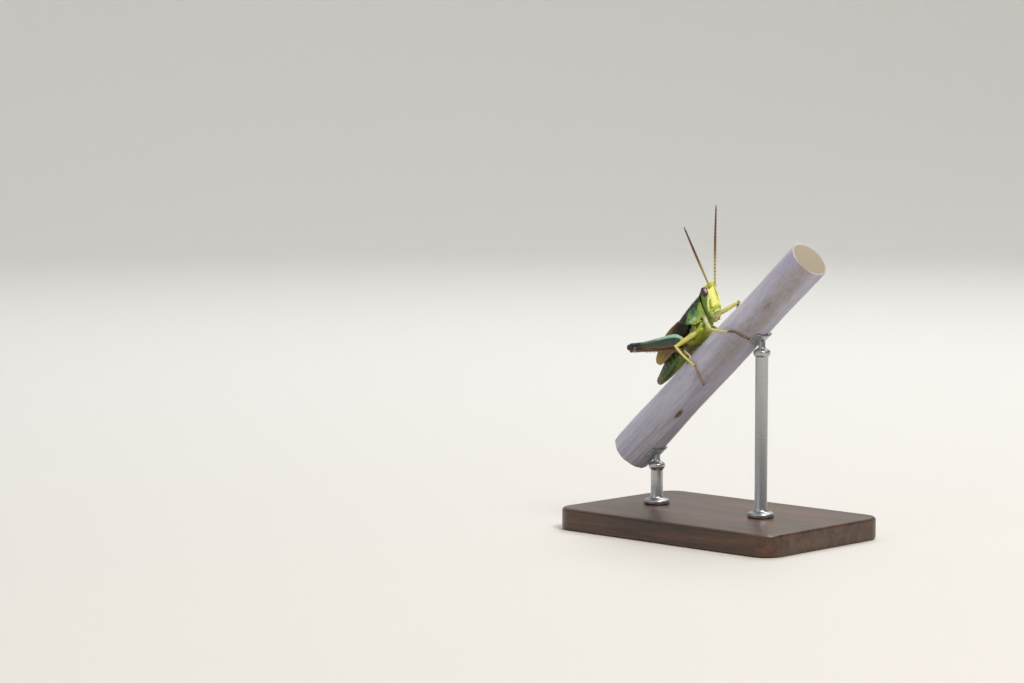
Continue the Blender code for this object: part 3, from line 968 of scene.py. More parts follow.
@dataclass(frozen=True)
class Pose:
    """How the insect sits on its stem."""

    stem_pitch: float = STEM_PITCH
    body_lift: float = 4.7
    head_station: float = 6.44
    head_height: float = 8.91
    eye_middle: Point = (-1.44, 0.0, -0.76)
    stem_radius_low: float = 3.1
    stem_radius_high: float = 2.88
    stem_length: float = 44.0

    @property
    def body(self) -> Matrix:
        """The insect's frame, found from the middle of its two eyes."""
        corners = [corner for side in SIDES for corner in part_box(f"eye_{side}")]
        middle = sum(corners, Vector()) / len(corners)
        turn = Matrix.Rotation(-math.radians(self.stem_pitch + self.body_lift), 4, "Y")
        return Matrix.Translation(middle - turn @ Vector(self.eye_middle) * MM) @ turn

    @property
    def stem(self) -> Matrix:
        """The stem's frame."""
        turn = Matrix.Rotation(-math.radians(self.stem_pitch), 4, "Y")
        head = Vector((self.head_station, 0.0, self.head_height)) * MM
        return Matrix.Translation(self.body.translation - turn @ head) @ turn

    def stem_radius(self, station: float) -> float:
        """The stem's radius at a distance from its middle."""
        share = 0.5 + station / self.stem_length
        return self.stem_radius_low + (self.stem_radius_high - self.stem_radius_low) * share

    def on_stem(self, station: float, angle: float, lift: float) -> Vector:
        """A point over the stem's skin, in the insect's frame.

        Args:
            station: Distance along the stem from its middle.
            angle: Degrees from its top towards the insect's right.
            lift: Height over the skin.

        Returns:
            The point in millimetres.
        """
        radius = self.stem_radius(station) + lift
        turn = math.radians(angle)
        point = Vector((station, -radius * math.sin(turn), radius * math.cos(turn))) * MM
        return (self.body.inverted() @ (self.stem @ point)) / MM


class Workshop:
    """Dresses finished pieces and sets them down in the row frame."""

    def __init__(self, pose: Pose) -> None:
        """Starts with no materials made."""
        self.pose = pose
        self.body = pose.body
        self.stem = pose.stem
        self.made: dict[str, Material] = {}

    def finish(self, name: str) -> Material:
        """The material of a finish, made once."""
        if name not in self.made:
            self.made[name] = FINISHES[name].material()
        return self.made[name]

    def deliver(
        self, piece: Object, finish: str, slot: str, replaced: Sequence[str] = (),
        place: Matrix | None = None,
    ) -> Object:
        """Dresses a piece, sets it in place and lets it ride.

        Args:
            piece: The piece, in its own frame.
            finish: Which finish it gets.
            slot: The record's slot for it; not used.
            replaced: The plain solids that it stands for.
            place: Its frame, the insect's unless given.

        Returns:
            The piece.
        """
        piece.data.transform(self.body if place is None else place)
        piece.data.materials.clear()
        piece.data.materials.append(self.finish(finish))
        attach(piece, "root")
        if replaced:
            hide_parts(*replaced)
        log.info("%s: %d faces", piece.name, len(piece.data.polygons))
        return piece


def coat(
    name: str, piece: Object, count: int, length: Span, lean: Point, seed: int,
    keep: Callable[[Vector, Vector], bool] = lambda place, normal: True, girth: float = 1.0,
) -> Object:
    """Grows bristles from a piece.

    Args:
        name: The coat's name.
        piece: What it grows on.
        count: How many bristles.
        length: Shortest and longest, in millimetres.
        lean: The way they lean over, in the piece's frame.
        seed: Fixes their places.
        keep: Says whether one grows at a place with a normal, in millimetres.
        girth: Thickness against the model bristle.

    Returns:
        The coat, in the piece's frame.
    """
    draw = random.Random(seed)
    mesh = piece.data
    areas = np.zeros(len(mesh.polygons))
    mesh.polygons.foreach_get("area", areas)
    around, along = read_mark(piece, "around"), read_mark(piece, "along")
    places, roots = [], []
    while len(places) < count:
        for index in draw.choices(range(len(areas)), weights=areas.tolist(), k=count):
            face = mesh.polygons[index]
            first, second = (mesh.vertices[i].co for i in (face.vertices[0], face.vertices[2]))
            place = face.center.lerp(first if draw.random() < 0.5 else second, draw.random() * 0.8)
            if not keep(place / MM, face.normal) or len(places) >= count:
                continue
            jitter = Vector([draw.uniform(-0.25, 0.25) for _ in range(3)])
            ahead = face.normal + Vector(lean) + jitter
            size = draw.uniform(*length)
            stretch = Matrix.Diagonal((girth, girth, size, 1.0))
            seat = Matrix.Translation(place - face.normal * 0.01 * MM)
            places.append(seat @ turn_to(ahead, Vector(lean)) @ stretch)
            corner = face.vertices[0]
            roots.append((around[corner] * 0.99, along[corner] * 0.99))
    return copies(name, bristle_model(), places, np.array(roots))


def flank(stations: Stations, belly: float, pinch: float, flat: float) -> Shape:
    """A length of the body.

    Args:
        stations: Rows of (x at the top, x at the bottom, half width, top z, bottom z).
        belly: The share of the height where the section is widest.
        pinch: How much the upper part narrows.
        flat: Under 1 squares the section's corners.

    Returns:
        The open tube, whose "around" starts at the top.
    """

    def shape(around: Array, along: Array) -> Array:
        """The body's surface."""
        x_top, x_bottom, half_width, top, bottom = stations.at(along).T
        middle = bottom + belly * (top - bottom)
        rise, side = np.cos(TAU * around), np.sin(TAU * around)
        rise, side = swell(rise, flat), swell(side, flat)
        z = middle + rise * np.where(rise > 0.0, top - middle, middle - bottom)
        y = side * half_width * (1.0 - pinch * np.maximum(rise, 0.0))
        return np.stack([x_bottom + (x_top - x_bottom) * (z - bottom) / (top - bottom), y, z], 1)

    return shape


# ---- The head ----


@dataclass
class Head:
    """The head capsule with its ridges and seams, the eyes, the mouthparts and the feelers.

    The outline and the lips are rows of (z, front, rear, half width, narrowing in front), from the top down.
    """

    shop: Workshop
    outline: Stations = Stations(
        (0.2, -0.62, -2.4, 0.6, 0.4), (0.06, -0.2, -2.7, 0.88, 0.5), (-0.2, -0.05, -2.9, 1.0, 0.4),
        (-0.8, -0.24, -3.1, 1.1, 0.22), (-1.6, -0.56, -3.4, 1.24, 0.3), (-2.4, -0.96, -3.62, 1.29, 0.34),
        (-3.0, -1.3, -3.68, 1.22, 0.36), (-3.42, -1.58, -3.6, 1.04, 0.34),
    )
    lips: Stations = Stations(
        (-3.34, -1.66, -3.2, 0.84, 0.26), (-3.62, -1.96, -3.34, 0.78, 0.28),
        (-3.82, -2.2, -3.46, 0.72, 0.26), (-4.06, -2.54, -3.6, 0.64, 0.22),
        (-4.26, -2.9, -3.74, 0.52, 0.18), (-4.4, -3.28, -3.86, 0.34, 0.12),
    )
    eye_middle: Point = (-1.47, 0.99, -0.6)
    eye_half: Point = (0.53, 0.38, 0.75)
    eye_tip: float = 14.0
    simple_eyes: tuple[Point, ...] = ((-0.3, 0.0, -0.98), (-0.34, 0.44, -0.2), (-0.34, -0.44, -0.2))
    simple_eye_radius: float = 0.085
    jaw: tuple[Point, ...] = (
        (-2.75, 0.78, -3.2), (-2.9, 0.74, -3.7), (-3.2, 0.52, -4.08), (-3.4, 0.26, -4.32),
    )
    jaw_radii: tuple[float, ...] = (0.3, 0.32, 0.25, 0.12)
    long_palp: tuple[Point, ...] = (
        (-3.55, 0.48, -3.8), (-3.62, 0.62, -4.05), (-3.45, 0.62, -4.26), (-3.24, 0.54, -4.42),
        (-3.14, 0.42, -4.54),
    )
    short_palp: tuple[Point, ...] = (
        (-3.75, 0.24, -4.0), (-3.7, 0.32, -4.24), (-3.56, 0.28, -4.4), (-3.46, 0.2, -4.5),
    )
    socket: Point = (-0.52, 0.56, -0.58)
    feeler_tips: dict[str, Point] = field(
        default_factory=lambda: {"right": (6.7, -7.61, 4.57), "left": (7.29, 1.86, 8.0)}
    )
    feeler_root: Path = (
        (-0.08, 0.11), (0.0, 0.18), (0.12, 0.225), (0.32, 0.235), (0.42, 0.2), (0.45, 0.12), (0.5, 0.11),
        (0.53, 0.165), (0.62, 0.18), (0.7, 0.16), (0.72, 0.1),
    )
    feeler_joint: Path = (
        (0.0, 0.66), (0.04, 0.8), (0.14, 0.93), (0.4, 1.0), (0.68, 0.98), (0.88, 0.86), (0.96, 0.72),
        (1.0, 0.6),
    )
    feeler_joints: int = 23
    feeler_bow: float = 0.1

    @staticmethod
    def ring(stations: Stations) -> Shape:
        """Level sections round the head, narrower in front than behind."""

        def shape(around: Array, along: Array) -> Array:
            """The head's surface."""
            z, front, rear, half_width, narrowing = stations.at(along).T
            ahead, side = np.cos(TAU * around), np.sin(TAU * around)
            ahead = swell(ahead, 0.85)
            side = swell(side, np.where(ahead < 0.0, 0.5, 1.0))
            y = side * half_width * (1.0 - narrowing * np.maximum(ahead, 0.0))
            return np.stack([(front + rear) / 2.0 + (front - rear) / 2.0 * ahead, y, z], 1)

        return shape

    def eye_share(self, points: Array) -> Array:
        """How far points lie from an eye's middle, seen from the side, where 1 is its outline."""
        turn = math.radians(self.eye_tip)
        ahead, rise = points[:, 0] - self.eye_middle[0], points[:, 2] - self.eye_middle[2]
        return np.hypot(
            (ahead * math.cos(turn) - rise * math.sin(turn)) / self.eye_half[0],
            (ahead * math.sin(turn) + rise * math.cos(turn)) / self.eye_half[2],
        )

    def capsule(self) -> Object:
        """The hard case of the head, in one piece."""
        skin = Skin(bent_grid("head_capsule", 144, 132, domed(self.ring(self.outline), 0.07, 0.04)))
        share, side = self.eye_share(skin.points), skin.facing(View.SIDE)
        skin.press((-0.2 * smooth(share, 1.02, 0.8) + 0.05 * peak(share, 1.12, 0.07)) * side)
        costa = [(0.12, -0.02), (0.19, -0.5), (0.21, -1.1), (0.23, -1.8), (0.27, -2.6), (0.34, -3.1)]
        cheek = [(0.58, -1.05), (0.68, -1.7), (0.78, -2.4), (0.84, -3.08)]
        below_eye = [(-1.4, -1.78), (-1.62, -2.15), (-1.95, -2.65), (-2.25, -3.2)]
        seam = [(0.0, -3.17), (0.45, -3.15), (0.82, -3.22)]
        rim = [(-0.84, -0.3), (-0.86, -1.0), (-1.2, -1.58), (-1.74, -1.98), (-2.2, -2.5), (-2.68, -3.1)]
        skin.ridges(
            View.FRONT,
            (costa, 0.055, 0.06), ([(0.0, -0.35), (0.0, -1.2), (0.0, -2.1)], 0.12, -0.03),
            (cheek, 0.06, 0.05), ([(0.47, -1.0), (0.5, -2.2), (0.52, -3.0)], 0.13, -0.04),
            ([self.socket[1:]], 0.23, -0.13), (seam, 0.045, -0.07), ([(0.6, -3.17)], 0.07, -0.08),
        )
        skin.ridges(
            View.SIDE,
            (below_eye, 0.06, -0.045), ([(-2.3, -1.5), (-2.75, -2.3), (-3.05, -3.1)], 0.08, 0.035),
        )
        skin.ridges(
            View.TOP,
            ([(-1.3, 0.46), (-0.85, 0.41), (-0.38, 0.3), (-0.08, 0.12)], 0.06, 0.05),
            ([(-0.95, 0.0), (-0.35, 0.0)], 0.2, -0.04), ([(-2.2, 0.0), (-1.1, 0.0)], 0.04, 0.02),
        )

        x, _, z = skin.points.T
        limit = np.interp(z, [-3.25, -2.5, -1.94, -1.0, 0.0], [-2.78, -2.22, -1.76, -1.2, -1.2])
        skin.mark("gena", smooth(x - limit, 0.04, -0.16) * side)
        skin.mark("gena", smooth(x, -1.2, -1.6) * smooth(z, -0.5, 0.0) * 0.8)
        # The bright stripes are partly the face's pale yellow and partly a painted highlight on the face and
        # along the costa's ridges.
        skin.stripes(
            View.FRONT,
            ("bright", [(0.48, -1.05), (0.56, -2.0), (0.58, -2.9)], 0.36, 1.0),
            ("bright", [(0.0, -2.3), (0.0, -3.02)], 0.26, 0.9), ("bright", costa, 0.07, 0.6),
            ("black", [(0.45, -3.15), (0.82, -3.22)], 0.035, 0.8),
        )
        # The wide black stripe behind the eye is painted shadow where the pronotum's front edge overhangs
        # the head.
        skin.stripes(
            View.SIDE,
            ("cream", rim, 0.11, 1.0), ("black", [(-2.1, -0.3), (-2.9, -0.5)], 0.28, 1.0),
            ("black", [(-2.1, -3.12)], 0.09, 1.0),
        )
        # Painted shade: the olive wash darkens the groove down the middle of the face.
        skin.washes(View.FRONT, ("olive", [(0.0, -0.25), (0.0, -1.6), (0.0, -2.6)], 0.17, 0.62))
        skin.washes(
            View.SIDE,
            ("moss", [(-1.5, -2.0), (-1.9, -2.55), (-2.2, -3.1)], 0.09, 0.55),
            ("cream", [(-3.05, -1.8), (-3.4, -2.8)], 0.12, 0.35),
        )
        return self.shop.deliver(skin.done(), "face", "head_cuticle", ["head"])

    def eyes(self) -> None:
        """The two compound eyes."""
        for name, side in SIDES.items():
            x, y, z = self.eye_middle
            middle = (x * MM, side * y * MM, z * MM)
            skin = Skin(ball(f"compound_eye_{name}", (56, 36), 1.0, middle, self.eye_half, self.eye_tip))
            # Painted reflection: a pale patch on the front of each eye; painted highlight: a bluish rim
            # along its upper edge.
            skin.washes(View.SIDE, ("pale", [(-1.0, -0.5), (-1.06, -0.95)], 0.15, 0.8))
            above = smooth(skin.points[:, 2], -0.3, 0.05)
            skin.mark("rim", smooth(self.eye_share(skin.points), 0.86, 1.0) * above)
            self.shop.deliver(skin.done(), "eye", "eye", [f"eye_{name}"])

    def ocelli(self, capsule: Object) -> None:
        """Three simple eyes, glassy beads seated in the face."""
        back = self.shop.body.inverted()
        beads = []
        for seat in self.simple_eyes:
            _, place, _, _ = capsule.closest_point_on_mesh(self.shop.body @ (Vector(seat) * MM))
            beads.append(ball("ocellus", (20, 12), self.simple_eye_radius, back @ place, (0.6, 1.0, 1.15)))
        piece = joined("simple_eyes", beads)
        write_mark(piece, "pale", np.full(len(piece.data.vertices), 0.8))
        self.shop.deliver(piece, "eye", "eye")

    def mouth(self) -> None:
        """The clypeus and labrum in front, the jaws at the sides, and the palps."""
        skin = Skin(bent_grid("clypeus_and_labrum", 96, 64, domed(self.ring(self.lips), 0.02, 0.05)))
        skin.ridges(
            View.FRONT,
            ([(0.0, -3.84), (0.4, -3.83), (0.78, -3.86)], 0.045, -0.07),
            ([(0.0, -4.2), (0.0, -4.5)], 0.07, -0.1), ([(0.0, -3.95), (0.0, -4.15)], 0.12, 0.04),
            ([(0.62, -3.55), (0.7, -3.75), (0.6, -4.2)], 0.06, -0.08),
        )
        skin.ridges(View.SIDE, ([(-2.6, -3.5), (-3.05, -4.2)], 0.07, -0.1))
        skin.stripes(
            View.FRONT,
            ("bright", [(0.0, -3.6), (0.5, -3.62)], 0.14, 1.0),
            ("beige", [(0.0, -4.35), (0.3, -4.3)], 0.28, 1.0),
            ("brown", [(0.15, -3.84), (0.75, -3.86)], 0.035, 0.7),
        )
        skin.stripes(
            View.SIDE,
            ("black", [(-2.75, -3.86)], 0.09, 1.0), ("black", [(-2.6, -3.5), (-2.85, -4.0)], 0.05, 0.8),
        )
        self.shop.deliver(skin.done(), "mouth", "mouth_cuticle", ["mouthparts"])
        for name, side in SIDES.items():
            jaw = tube(round_line(mirrored(side, *self.jaw), self.jaw_radii), (1.0, 0.0, 0.0))
            skin = Skin(bent_grid(f"jaw_{name}", 32, 32, domed(jaw, 0.1, 0.08, 0.12)))
            skin.mark("black", smooth(skin.along, 0.72, 0.95))
            skin.mark("brown", smooth(skin.along, 0.5, 0.8))
            self.shop.deliver(skin.done(), "mouth", "mouth_cuticle")
            self.palp(f"long_palp_{name}", mirrored(side, *self.long_palp), 0.085)
            self.palp(f"short_palp_{name}", mirrored(side, *self.short_palp), 0.07)

    def palp(self, name: str, path: Sequence[Point], girth: float) -> None:
        """One palp: a few short joints in a row, the last one blunt."""
        joints = []
        radii = (girth * 0.7, girth, girth * 1.1, girth * 0.85)
        for start, end in zip(path, path[1:]):
            knots = [Vector(start).lerp(Vector(end), share) for share in (0.0, 0.3, 0.75, 1.0)]
            line = round_line(knots, radii)
            joints.append(bent_grid("joint", 16, 14, domed(tube(line), 0.03, 0.05, 0.14)))
        self.shop.deliver(joined(name, joints), "mouth", "mouth_cuticle")

    def feelers(self) -> None:
        """The two feelers, each a row of barrel joints on a thick first joint."""
        count = self.feeler_joints
        upright = Matrix.Rotation(-math.pi / 2, 4, "Y")
        for name, side in SIDES.items():
            base, tip = Vector(mirrored(side, self.socket)[0]), Vector(self.feeler_tips[name])
            ahead = (tip - base).normalized()
            start = base + ahead * 0.7
            scape = turned("scape", self.feeler_root, 20)
            for mark in ("along", "ring"):
                write_mark(scape, mark, np.zeros(len(scape.data.vertices)))
            scape.data.transform(Matrix.Translation(base * MM) @ turn_to(ahead) @ upright)
            joint = turned("joint", self.feeler_joint, 14)
            local = points_of(joint)[:, 0] / MM
            places = []
            for index in range(count):
                ends = []
                for share in (index / count, (index + 1) / count):
                    bow = Vector((0.0, 0.0, self.feeler_bow * math.sin(math.pi * share)))
                    ends.append(start.lerp(tip, share) + bow)
                share = (index + 0.5) / count
                girth = 0.155 + 0.05 * math.sin(math.pi * min(share * 1.15, 1.0)) - 0.03 * share
                if index == count - 1:
                    girth *= 0.82
                step = ends[1] - ends[0]
                size = Matrix.Diagonal((step.length * 1.02, girth, girth, 1.0))
                places.append(Matrix.Translation(ends[0] * MM) @ (turn_to(step) @ upright) @ size)
            flagellum = copies("flagellum", joint, places)
            shares = np.repeat(np.arange(count), len(local)) + np.tile(local, count)
            write_mark(flagellum, "along", 0.06 + 0.94 * shares / count)
            write_mark(flagellum, "ring", np.tile(smooth(abs(local - 0.5), 0.3, 0.46), count) * 0.9)
            feeler = joined(f"feeler_{name}", [flagellum, scape])
            self.shop.deliver(feeler, "feeler", "antenna", [f"antenna_{name}"])

    def build(self) -> None:
        """Makes the whole head."""
        capsule = self.capsule()
        self.eyes()
        self.ocelli(capsule)
        self.mouth()
        self.feelers()


# ---- The thorax, the abdomen and the wings ----


@dataclass
class Trunk:
    """The neck, the saddle-shaped pronotum, the rest of the thorax and the ringed abdomen.

    The shield, the chest and the rings are rows of (x at the top, x at the bottom, half width, top, bottom).
    The shield's bends are shares of the way (out, down) from the keel to its edge.
    """

    shop: Workshop
    shield: Stations = Stations(
        (-2.55, -3.6, 1.34, 0.04, -3.3), (-3.5, -4.05, 1.42, 0.12, -3.3), (-4.6, -4.6, 1.5, 0.16, -3.16),
        (-5.8, -5.2, 1.58, 0.13, -2.98), (-7.0, -5.85, 1.64, 0.08, -2.74), (-8.1, -6.45, 1.66, -0.06, -2.32),
    )
    shield_bends: Stations = Stations(
        (0.0, 0.0), (0.3, 0.012), (0.54, 0.05), (0.71, 0.12), (0.84, 0.225), (0.93, 0.38), (1.0, 0.58),
        (0.985, 0.78), (0.94, 0.91), (0.88, 1.0),
    )
    shield_wall: float = 0.09
    shield_length: float = 6.2
    shield_depth: float = 4.9
    hind_lobe: float = 0.45
    furrows: tuple[Path, ...] = (
        ((-4.0, 0.1), (-4.15, -0.8), (-4.25, -1.7), (-4.4, -2.4)),
        ((-5.0, 0.1), (-5.1, -0.9), (-5.05, -1.8), (-4.8, -2.8)),
        ((-6.1, 0.1), (-6.2, -1.0), (-6.0, -2.0), (-5.5, -2.9)),
    )
    chest: Stations = Stations(
        (-4.3, -4.2, 0.9, -1.0, -3.5), (-5.4, -4.7, 1.16, -0.9, -3.95), (-6.8, -5.2, 1.34, -0.85, -4.46),
        (-7.95, -5.9, 1.44, -0.82, -4.72), (-8.3, -6.8, 1.58, -0.78, -4.86),
        (-8.9, -7.8, 1.62, -0.82, -4.88), (-9.6, -9.0, 1.55, -0.9, -4.78), (-10.1, -10.0, 1.32, -1.0, -4.62),
    )
    seams: tuple[Path, ...] = (
        ((-5.0, -4.0), (-5.8, -3.0), (-6.6, -2.1)), ((-5.9, -4.3), (-6.6, -3.2), (-7.4, -1.9)),
        ((-6.75, -4.35), (-7.45, -3.2), (-8.2, -1.9)), ((-7.75, -4.2), (-8.3, -3.3), (-8.95, -2.0)),
        ((-9.2, -4.3), (-9.45, -3.2), (-9.7, -2.2)),
    )
    rings: Stations = Stations(*[(x, x, *rest) for x, *rest in (
        (-10.0, 1.27, -1.06, -4.62), (-11.1, 1.22, -1.12, -4.57), (-12.1, 1.17, -1.2, -4.5),
        (-13.1, 1.11, -1.33, -4.42), (-14.1, 1.03, -1.56, -4.3), (-15.0, 0.94, -1.86, -4.2),
        (-15.8, 0.84, -2.1, -4.09), (-16.55, 0.72, -2.27, -3.97), (-17.2, 0.57, -2.43, -3.82),
        (-17.75, 0.38, -2.66, -3.58),
    )])
    ring_count: int = 9

    def neck(self) -> None:
        """The soft dark-olive neck between the head and the pronotum, with painted shade in black on its
        upper part.
        """
        line = Stations(
            (-2.3, 0.0, -1.9, 1.5, 1.4, 0.86), (-3.1, 0.0, -2.1, 1.7, 1.8, 1.02),
            (-4.2, 0.0, -2.4, 2.0, 1.8, 1.14),
        )
        skin = Skin(bent_grid("neck_membrane", 64, 40, domed(tube(line), 0.1, 0.1, 0.1)))
        skin.press(0.03 * np.sin(skin.along * TAU * 5.0))
        skin.mark("membrane", 0.6)
        # Painted shade: the neck's upper part is black where it lies under the pronotum.
        skin.mark("black", smooth(skin.points[:, 2], -1.4, -0.8))
        self.shop.deliver(skin.done(), "thorax", "thorax_cuticle")

    def saddle(self, around: Array, along: Array) -> Array:
        """The pronotum's surface, from one lower edge over the back to the other."""
        side = 2.0 * around - 1.0
        out, down = self.shield_bends.at(abs(side)).T
        x_top, x_bottom, half_width, top, bottom = self.shield.at(along).T
        x = x_top + (x_bottom - x_top) * down
        x -= self.hind_lobe * smooth(along, 0.75, 1.0) * np.maximum(1.0 - out, 0.0) ** 1.3
        corner = smooth(down, 0.72, 1.0)
        x -= corner * 0.12 * smooth(along, 0.25, 0.0)
        x += corner * 0.28 * smooth(along, 0.8, 1.0)
        return np.stack([x, np.sign(side) * out * half_width, top + (bottom - top) * down], 1)

    def pronotum(self) -> None:
        """The pronotum: three cross furrows, a keel down the middle, rimmed edges and a pitted rear part."""
        skin = Skin(bent_grid("pronotum_shield", 200, 132, self.saddle))
        edge = np.minimum(skin.along, 1.0 - skin.along) * self.shield_length
        hem = (1.0 - abs(2.0 * skin.around - 1.0)) * self.shield_depth
        skin.press(0.06 * peak(edge, 0.0, 0.13) - 0.04 * peak(edge, 0.3, 0.12))
        skin.press(0.07 * peak(hem, 0.0, 0.13) - 0.05 * peak(hem, 0.32, 0.13))
        skin.ridges(
            View.TOP,
            ([(-2.6, 0.0), (-8.5, 0.0)], 0.07, 0.09),
            ([(-2.7, 0.92), (-5.0, 1.05), (-8.2, 1.24)], 0.08, 0.05),
        )
        for furrow in self.furrows:
            skin.ridges(View.SIDE, (furrow, 0.07, -0.075))
            skin.ridges(View.TOP, ([(furrow[0][0], 0.0), (furrow[0][0] - 0.03, 1.3)], 0.06, -0.08))
        skin.ridges(
            View.SIDE,
            ([(-4.2, -2.6), (-4.55, -2.9), (-5.3, -3.0)], 0.09, -0.05),
            ([(-3.5, -2.3)], 0.5, 0.05), ([(-5.3, -1.9)], 0.45, 0.04),
        )

        x, _, z = skin.points.T
        # Painted shade: the band mark darkens the upper part of the pronotum's sides.
        skin.mark("band", smooth(z + 0.62 - 0.8 * np.minimum(x + 5.7, 0.0), -0.6, 0.3) * 0.95)
        skin.mark("disc", smooth(skin.normals[:, 2], 0.62, 0.85))
        skin.mark("yellow", smooth(edge, 0.26, 0.1) * smooth(skin.along, 0.3, 0.1) * smooth(z, -1.0, -1.6))
        skin.mark("yellow", smooth(hem, 0.42, 0.16) * 0.95)
        # Painted sheen and highlights: the teal and pale washes lighten the pronotum's sides where the gloss
        # catches the light.
        skin.washes(
            View.SIDE,
            ("teal", [(-5.2, -1.3), (-5.9, -1.7), (-6.4, -2.2)], 0.5, 0.5),
            ("teal", [(-4.4, -1.2), (-4.6, -2.0)], 0.4, 0.45),
            ("pale", [(-5.2, -2.3), (-6.1, -2.1)], 0.34, 0.62), ("pale", [(-5.75, -1.6)], 0.24, 0.45),
            ("lime", [(-4.2, -2.6), (-5.0, -2.7), (-5.8, -2.6)], 0.5, 0.7),
            ("lime", [(-3.3, -1.5), (-3.7, -2.2), (-4.0, -2.9)], 0.6, 0.6),
            ("moss", [(-3.2, -0.9), (-4.2, -1.15), (-4.9, -1.3)], 0.55, 0.85),
        )
        skin.stripes(View.TOP, ("line", [(-2.65, 0.93), (-5.0, 1.06), (-8.3, 1.25)], 0.08, 0.6))
        # Painted shadow: the black stripe at the lower front edge darkens the pronotum over the fore leg's
        # root.
        skin.stripes(
            View.SIDE,
            ("black", [(-4.55, -3.0), (-4.3, -3.14)], 0.12, 1.0), ("rose", [(-4.05, -3.24)], 0.13, 0.8),
        )
        piece = skin.done()
        apply_modifier(piece, "SOLIDIFY", thickness=self.shield_wall * MM, offset=-1.0)
        self.shop.deliver(piece, "pronotum", "pronotum_cuticle", ["pronotum"])

    def breast(self) -> None:
        """The small plate between the fore legs, with its blunt spine."""
        line = Stations(
            (-3.8, 0.0, -3.6, 0.4, 0.24, 0.66), (-4.3, 0.0, -3.65, 0.4, 0.34, 0.8),
            (-4.9, 0.0, -3.75, 0.4, 0.42, 0.9), (-5.5, 0.0, -3.9, 0.4, 0.46, 0.92),
        )
        plate = bent_grid("plate", 56, 40, domed(tube(line, corner=0.8), 0.15, 0.1, 0.1))
        path = [(-4.5, 0.0, -3.8), (-4.47, 0.0, -4.1), (-4.42, 0.0, -4.36)]
        form = tube(round_line(path, [0.22, 0.18, 0.12]), (1.0, 0.0, 0.0))
        spine = bent_grid("spine", 32, 28, domed(form, 0.02, 0.11, 0.16))
        skin = Skin(joined("breast_plate", [plate, spine]))
        skin.mark("olive", 0.7)
        skin.mark("lime", smooth(skin.points[:, 2], -4.5, -4.8))
        self.shop.deliver(skin.done(), "thorax", "thorax_cuticle", ["prosternum"])

    def thorax(self) -> None:
        """The wing-bearing part, with the seams of its side plates and its broad underside."""
        shape = flank(self.chest, 0.24, 0.8, 0.86)
        skin = Skin(bent_grid("thorax_sides", 176, 150, domed(shape, 0.1, 0.05, 0.03)))
        for seam in self.seams:
            behind = [(x - 0.2, z) for x, z in seam]
            skin.ridges(View.SIDE, (seam, 0.055, -0.1), (behind, 0.12, 0.06))
            skin.stripes(View.SIDE, ("black", seam, 0.03, 0.5))
        skin.ridges(
            View.BELOW,
            ([(-5.0, 0.75), (-7.2, 0.85), (-9.2, 0.95)], 0.07, -0.08),
            ([(-6.3, 0.0), (-6.35, 0.7)], 0.06, -0.08), ([(-7.9, 0.0), (-7.95, 0.8)], 0.06, -0.08),
            ([(-6.4, 0.3), (-7.8, 0.35)], 0.06, -0.06),
        )
        x, _, z = skin.points.T
        skin.mark("olive", smooth(z, -3.45, -3.9))
        # Painted shade: the black stripe just under the pronotum's lower edge, and the black patch at the
        # wing root behind the pronotum.
        skin.stripes(
            View.SIDE,
            ("lime", [(-5.0, -3.3), (-5.5, -3.6), (-6.3, -3.9)], 0.3, 0.85),
            ("lime", [(-6.4, -3.1), (-6.85, -2.6)], 0.26, 0.9),
            ("lime", [(-7.4, -3.5), (-7.9, -2.9)], 0.24, 0.8),
            ("lime", [(-8.4, -3.5), (-8.8, -2.8)], 0.24, 0.7),
            ("pale", [(-6.5, -1.9), (-7.0, -2.3), (-7.55, -2.85)], 0.17, 1.0),
            ("black", [(-5.35, -3.1), (-5.7, -3.22), (-6.1, -3.2)], 0.11, 1.0),
            ("black", [(-7.4, -1.9), (-7.9, -2.5)], 0.2, 1.0), ("rose", [(-5.35, -3.75)], 0.2, 0.5),
        )
        # Painted shade: the top of the thorax is black where the pronotum and wings cover it.
        skin.mark("black", smooth(z, -2.0, -1.6) * 0.9)
        skin.mark("brown", smooth(x, -7.2, -8.4) * smooth(z, -2.6, -3.6) * 0.62)
        # Painted shade: the underside, which faces the stem, is browner.
        skin.mark("brown", smooth(z, -4.4, -4.75) * 0.42)
        self.shop.deliver(skin.done(), "thorax", "thorax_cuticle", ["pterothorax"])

    def abdomen(self) -> None:
        """Nine overlapping rings, each with its breathing hole and a soft fold along the flank."""
        for index in range(self.ring_count):
            start, end = index / self.ring_count, min((index + 1.12) / self.ring_count, 1.0)
            belly, pinch = 0.24 + 0.08 * index / self.ring_count, 0.74 - 0.2 * index / self.ring_count
            whole = flank(self.rings, belly, pinch, 0.95)

            def ring(around: Array, along: Array) -> Array:
                """One ring's surface."""
                return whole(around, np.clip(start + (end - start) * along, 0.0, 1.0))

